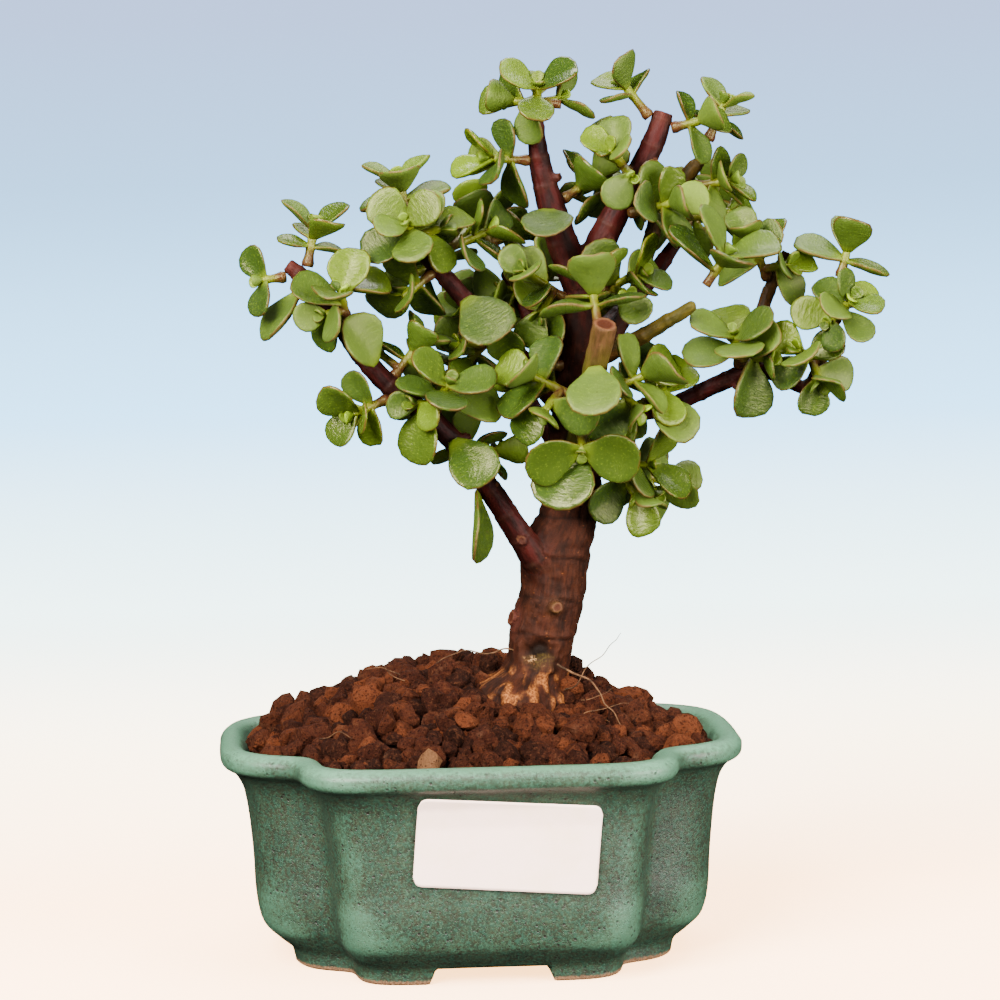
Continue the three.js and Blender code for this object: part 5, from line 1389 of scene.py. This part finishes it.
class LabelSettings(PropertyGroup):
    thickness: length("Thickness", "Of the label's paper", 0.35 * MM)
    lift: length("Lift", "How far its long edges stand off the wall", 0.25 * MM)
    colour: colour("Paper", "The clean paper", paint(252, 217, 202))


class SoilSettings(PropertyGroup):
    seed: IntProperty(name="Seed", description="For the grains' places and shapes", default=4)
    grain: length("Grain", "Spacing of the akadama grains", 5.4 * MM)
    crumbs: IntProperty(name="Crumbs", description="Number of crumbs between the grains", default=1500, min=0)
    colour: colour("Clay", "The common tone of the grains", paint(45, 20, 11))


class WoodSettings(PropertyGroup):
    step: length("Step", "Between the rings of a limb's tube", 1.2 * MM)
    voxel: length("Cell", "Size of the skin's cells", 0.6 * MM)
    bark: colour("Bark", "The trunk's common tone", paint(40, 17, 8))
    limb: colour("Limb bark", "The limbs' common tone", paint(46, 11, 9))
    root_width: number("Root width", "Thickness of the fine roots, as a share", 0.64)
    root: colour("Root", "The paler part of the fine roots", paint(88, 60, 38))


class ShootSettings(PropertyGroup):
    seed: IntProperty(name="Seed", description="For each leaf's form and tone", default=11)
    leaf_columns: IntProperty(name="Leaf columns", description="Points round a leaf's rim", default=22, min=8)
    leaf_thickness: length("Leaf thickness", "Of a common leaf at its middle", 2.0 * MM)
    stem_radius: length("Stem radius", "Of a young stem", 1.2 * MM)
    flesh: number("Flesh", "Share of light that passes through the flesh", 0.12)
    wrinkles: length("Wrinkles", "How high the leaves' fine wrinkles stand", 0.34 * MM)
    gloss: number("Gloss", "Strength of the leaves' shine", 0.3)
    green: colour("Green", "Common leaves", paint(53, 68, 15))
    shade: colour("Shade green", "Old leaves", paint(33, 49, 14))
    bright: colour("Bright green", "Young leaves", paint(80, 100, 12))


class StageSettings(PropertyGroup):
    paper: colour("Paper", "The floor's paper", paint(240, 218, 196))
    floor: colour("Floor", "Glow of the floor's paper", (0.9, 0.45, 0.16))
    backdrop: colour("Backdrop", "Glow of the paper behind the crown", (0.11, 0.24, 0.4))
    glow: number("Glow", "How brightly the paper is lit from behind", 6.2)
    key: number("Key", "Power of the lamp at the front left", 88, unit="POWER")
    fill: number("Fill", "Power of the lamp at the right", 62, unit="POWER")
    rim: number("Back", "Power of the lamp behind", 24, unit="POWER")
    glint: number("Glint", "Power of the small lamp that leaves shine in", 14, unit="POWER")
    air: colour("Air", "Light from all round", (1.0, 0.97, 0.94))
    air_strength: number("Air strength", "How bright the air is", 0.75)


class BONSAI_OT_stage(Operator):
    """Add the sweep of pale paper, the lamps and the camera"""

    bl_idname = "bonsai.stage"
    bl_label = "Stage"

    def execute(self, context):
        build_stage(context.scene.bonsai_stage)
        return {"FINISHED"}


class BONSAI_OT_pot(Operator):
    """Add the glazed pot, and finish the net over its drain hole"""

    bl_idname = "bonsai.pot"
    bl_label = "Pot"

    def execute(self, context):
        build_pot(context.scene.bonsai_pot)
        finish_screen()
        return {"FINISHED"}


class BONSAI_OT_label(Operator):
    """Add the blank paper label on the pot's front"""

    bl_idname = "bonsai.label"
    bl_label = "Label"

    def execute(self, context):
        build_label(context.scene.bonsai_label)
        return {"FINISHED"}


class BONSAI_OT_soil(Operator):
    """Add the heaped akadama grains"""

    bl_idname = "bonsai.soil"
    bl_label = "Soil"

    def execute(self, context):
        build_soil(context.scene.bonsai_soil)
        return {"FINISHED"}


class BONSAI_OT_wood(Operator):
    """Add the trunk and its limbs in their bark"""

    bl_idname = "bonsai.wood"
    bl_label = "Wood"

    def execute(self, context):
        build_wood(context.scene.bonsai_wood)
        return {"FINISHED"}


class BONSAI_OT_roots(Operator):
    """Add the fine roots that lie on the soil"""

    bl_idname = "bonsai.roots"
    bl_label = "Fine roots"

    def execute(self, context):
        build_roots(context.scene.bonsai_wood)
        return {"FINISHED"}


class BONSAI_OT_shoots(Operator):
    """Add every leafy shoot"""

    bl_idname = "bonsai.shoots"
    bl_label = "Shoots"

    def execute(self, context):
        build_shoots(context.scene.bonsai_shoots)
        return {"FINISHED"}


# Each settings group under its name on the scene, with the operators that read it
SECTIONS = {
    "bonsai_stage": (StageSettings, [BONSAI_OT_stage]),
    "bonsai_pot": (PotSettings, [BONSAI_OT_pot]),
    "bonsai_label": (LabelSettings, [BONSAI_OT_label]),
    "bonsai_soil": (SoilSettings, [BONSAI_OT_soil]),
    "bonsai_wood": (WoodSettings, [BONSAI_OT_wood, BONSAI_OT_roots]),
    "bonsai_shoots": (ShootSettings, [BONSAI_OT_shoots]),
}


class BONSAI_PT_panel(Panel):
    """Lists the tree's pieces and their settings"""

    bl_label = "Bonsai"
    bl_space_type = "VIEW_3D"
    bl_region_type = "UI"
    bl_category = "Bonsai"

    def draw(self, context):
        for name, (_, operators) in SECTIONS.items():
            box = self.layout.box()
            for operator in operators:
                box.operator(operator.bl_idname)
            group = getattr(context.scene, name)
            for key in group.__annotations__:
                box.prop(group, key)


def register():
    for name, (group, operators) in SECTIONS.items():
        bpy.utils.register_class(group)
        setattr(bpy.types.Scene, name, PointerProperty(type=group))
        for operator in operators:
            bpy.utils.register_class(operator)
    bpy.utils.register_class(BONSAI_PT_panel)


def unregister():
    bpy.utils.unregister_class(BONSAI_PT_panel)
    for name, (group, operators) in reversed(SECTIONS.items()):
        for operator in operators:
            bpy.utils.unregister_class(operator)
        delattr(bpy.types.Scene, name)
        bpy.utils.unregister_class(group)


def main():
    register()
    bpy.ops.bonsai.stage()
    bpy.ops.bonsai.pot()
    bpy.ops.bonsai.label()
    bpy.ops.bonsai.soil()
    bpy.ops.bonsai.wood()
    bpy.ops.bonsai.roots()
    bpy.ops.bonsai.shoots()
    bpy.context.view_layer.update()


if __name__ == "__main__":
    main()
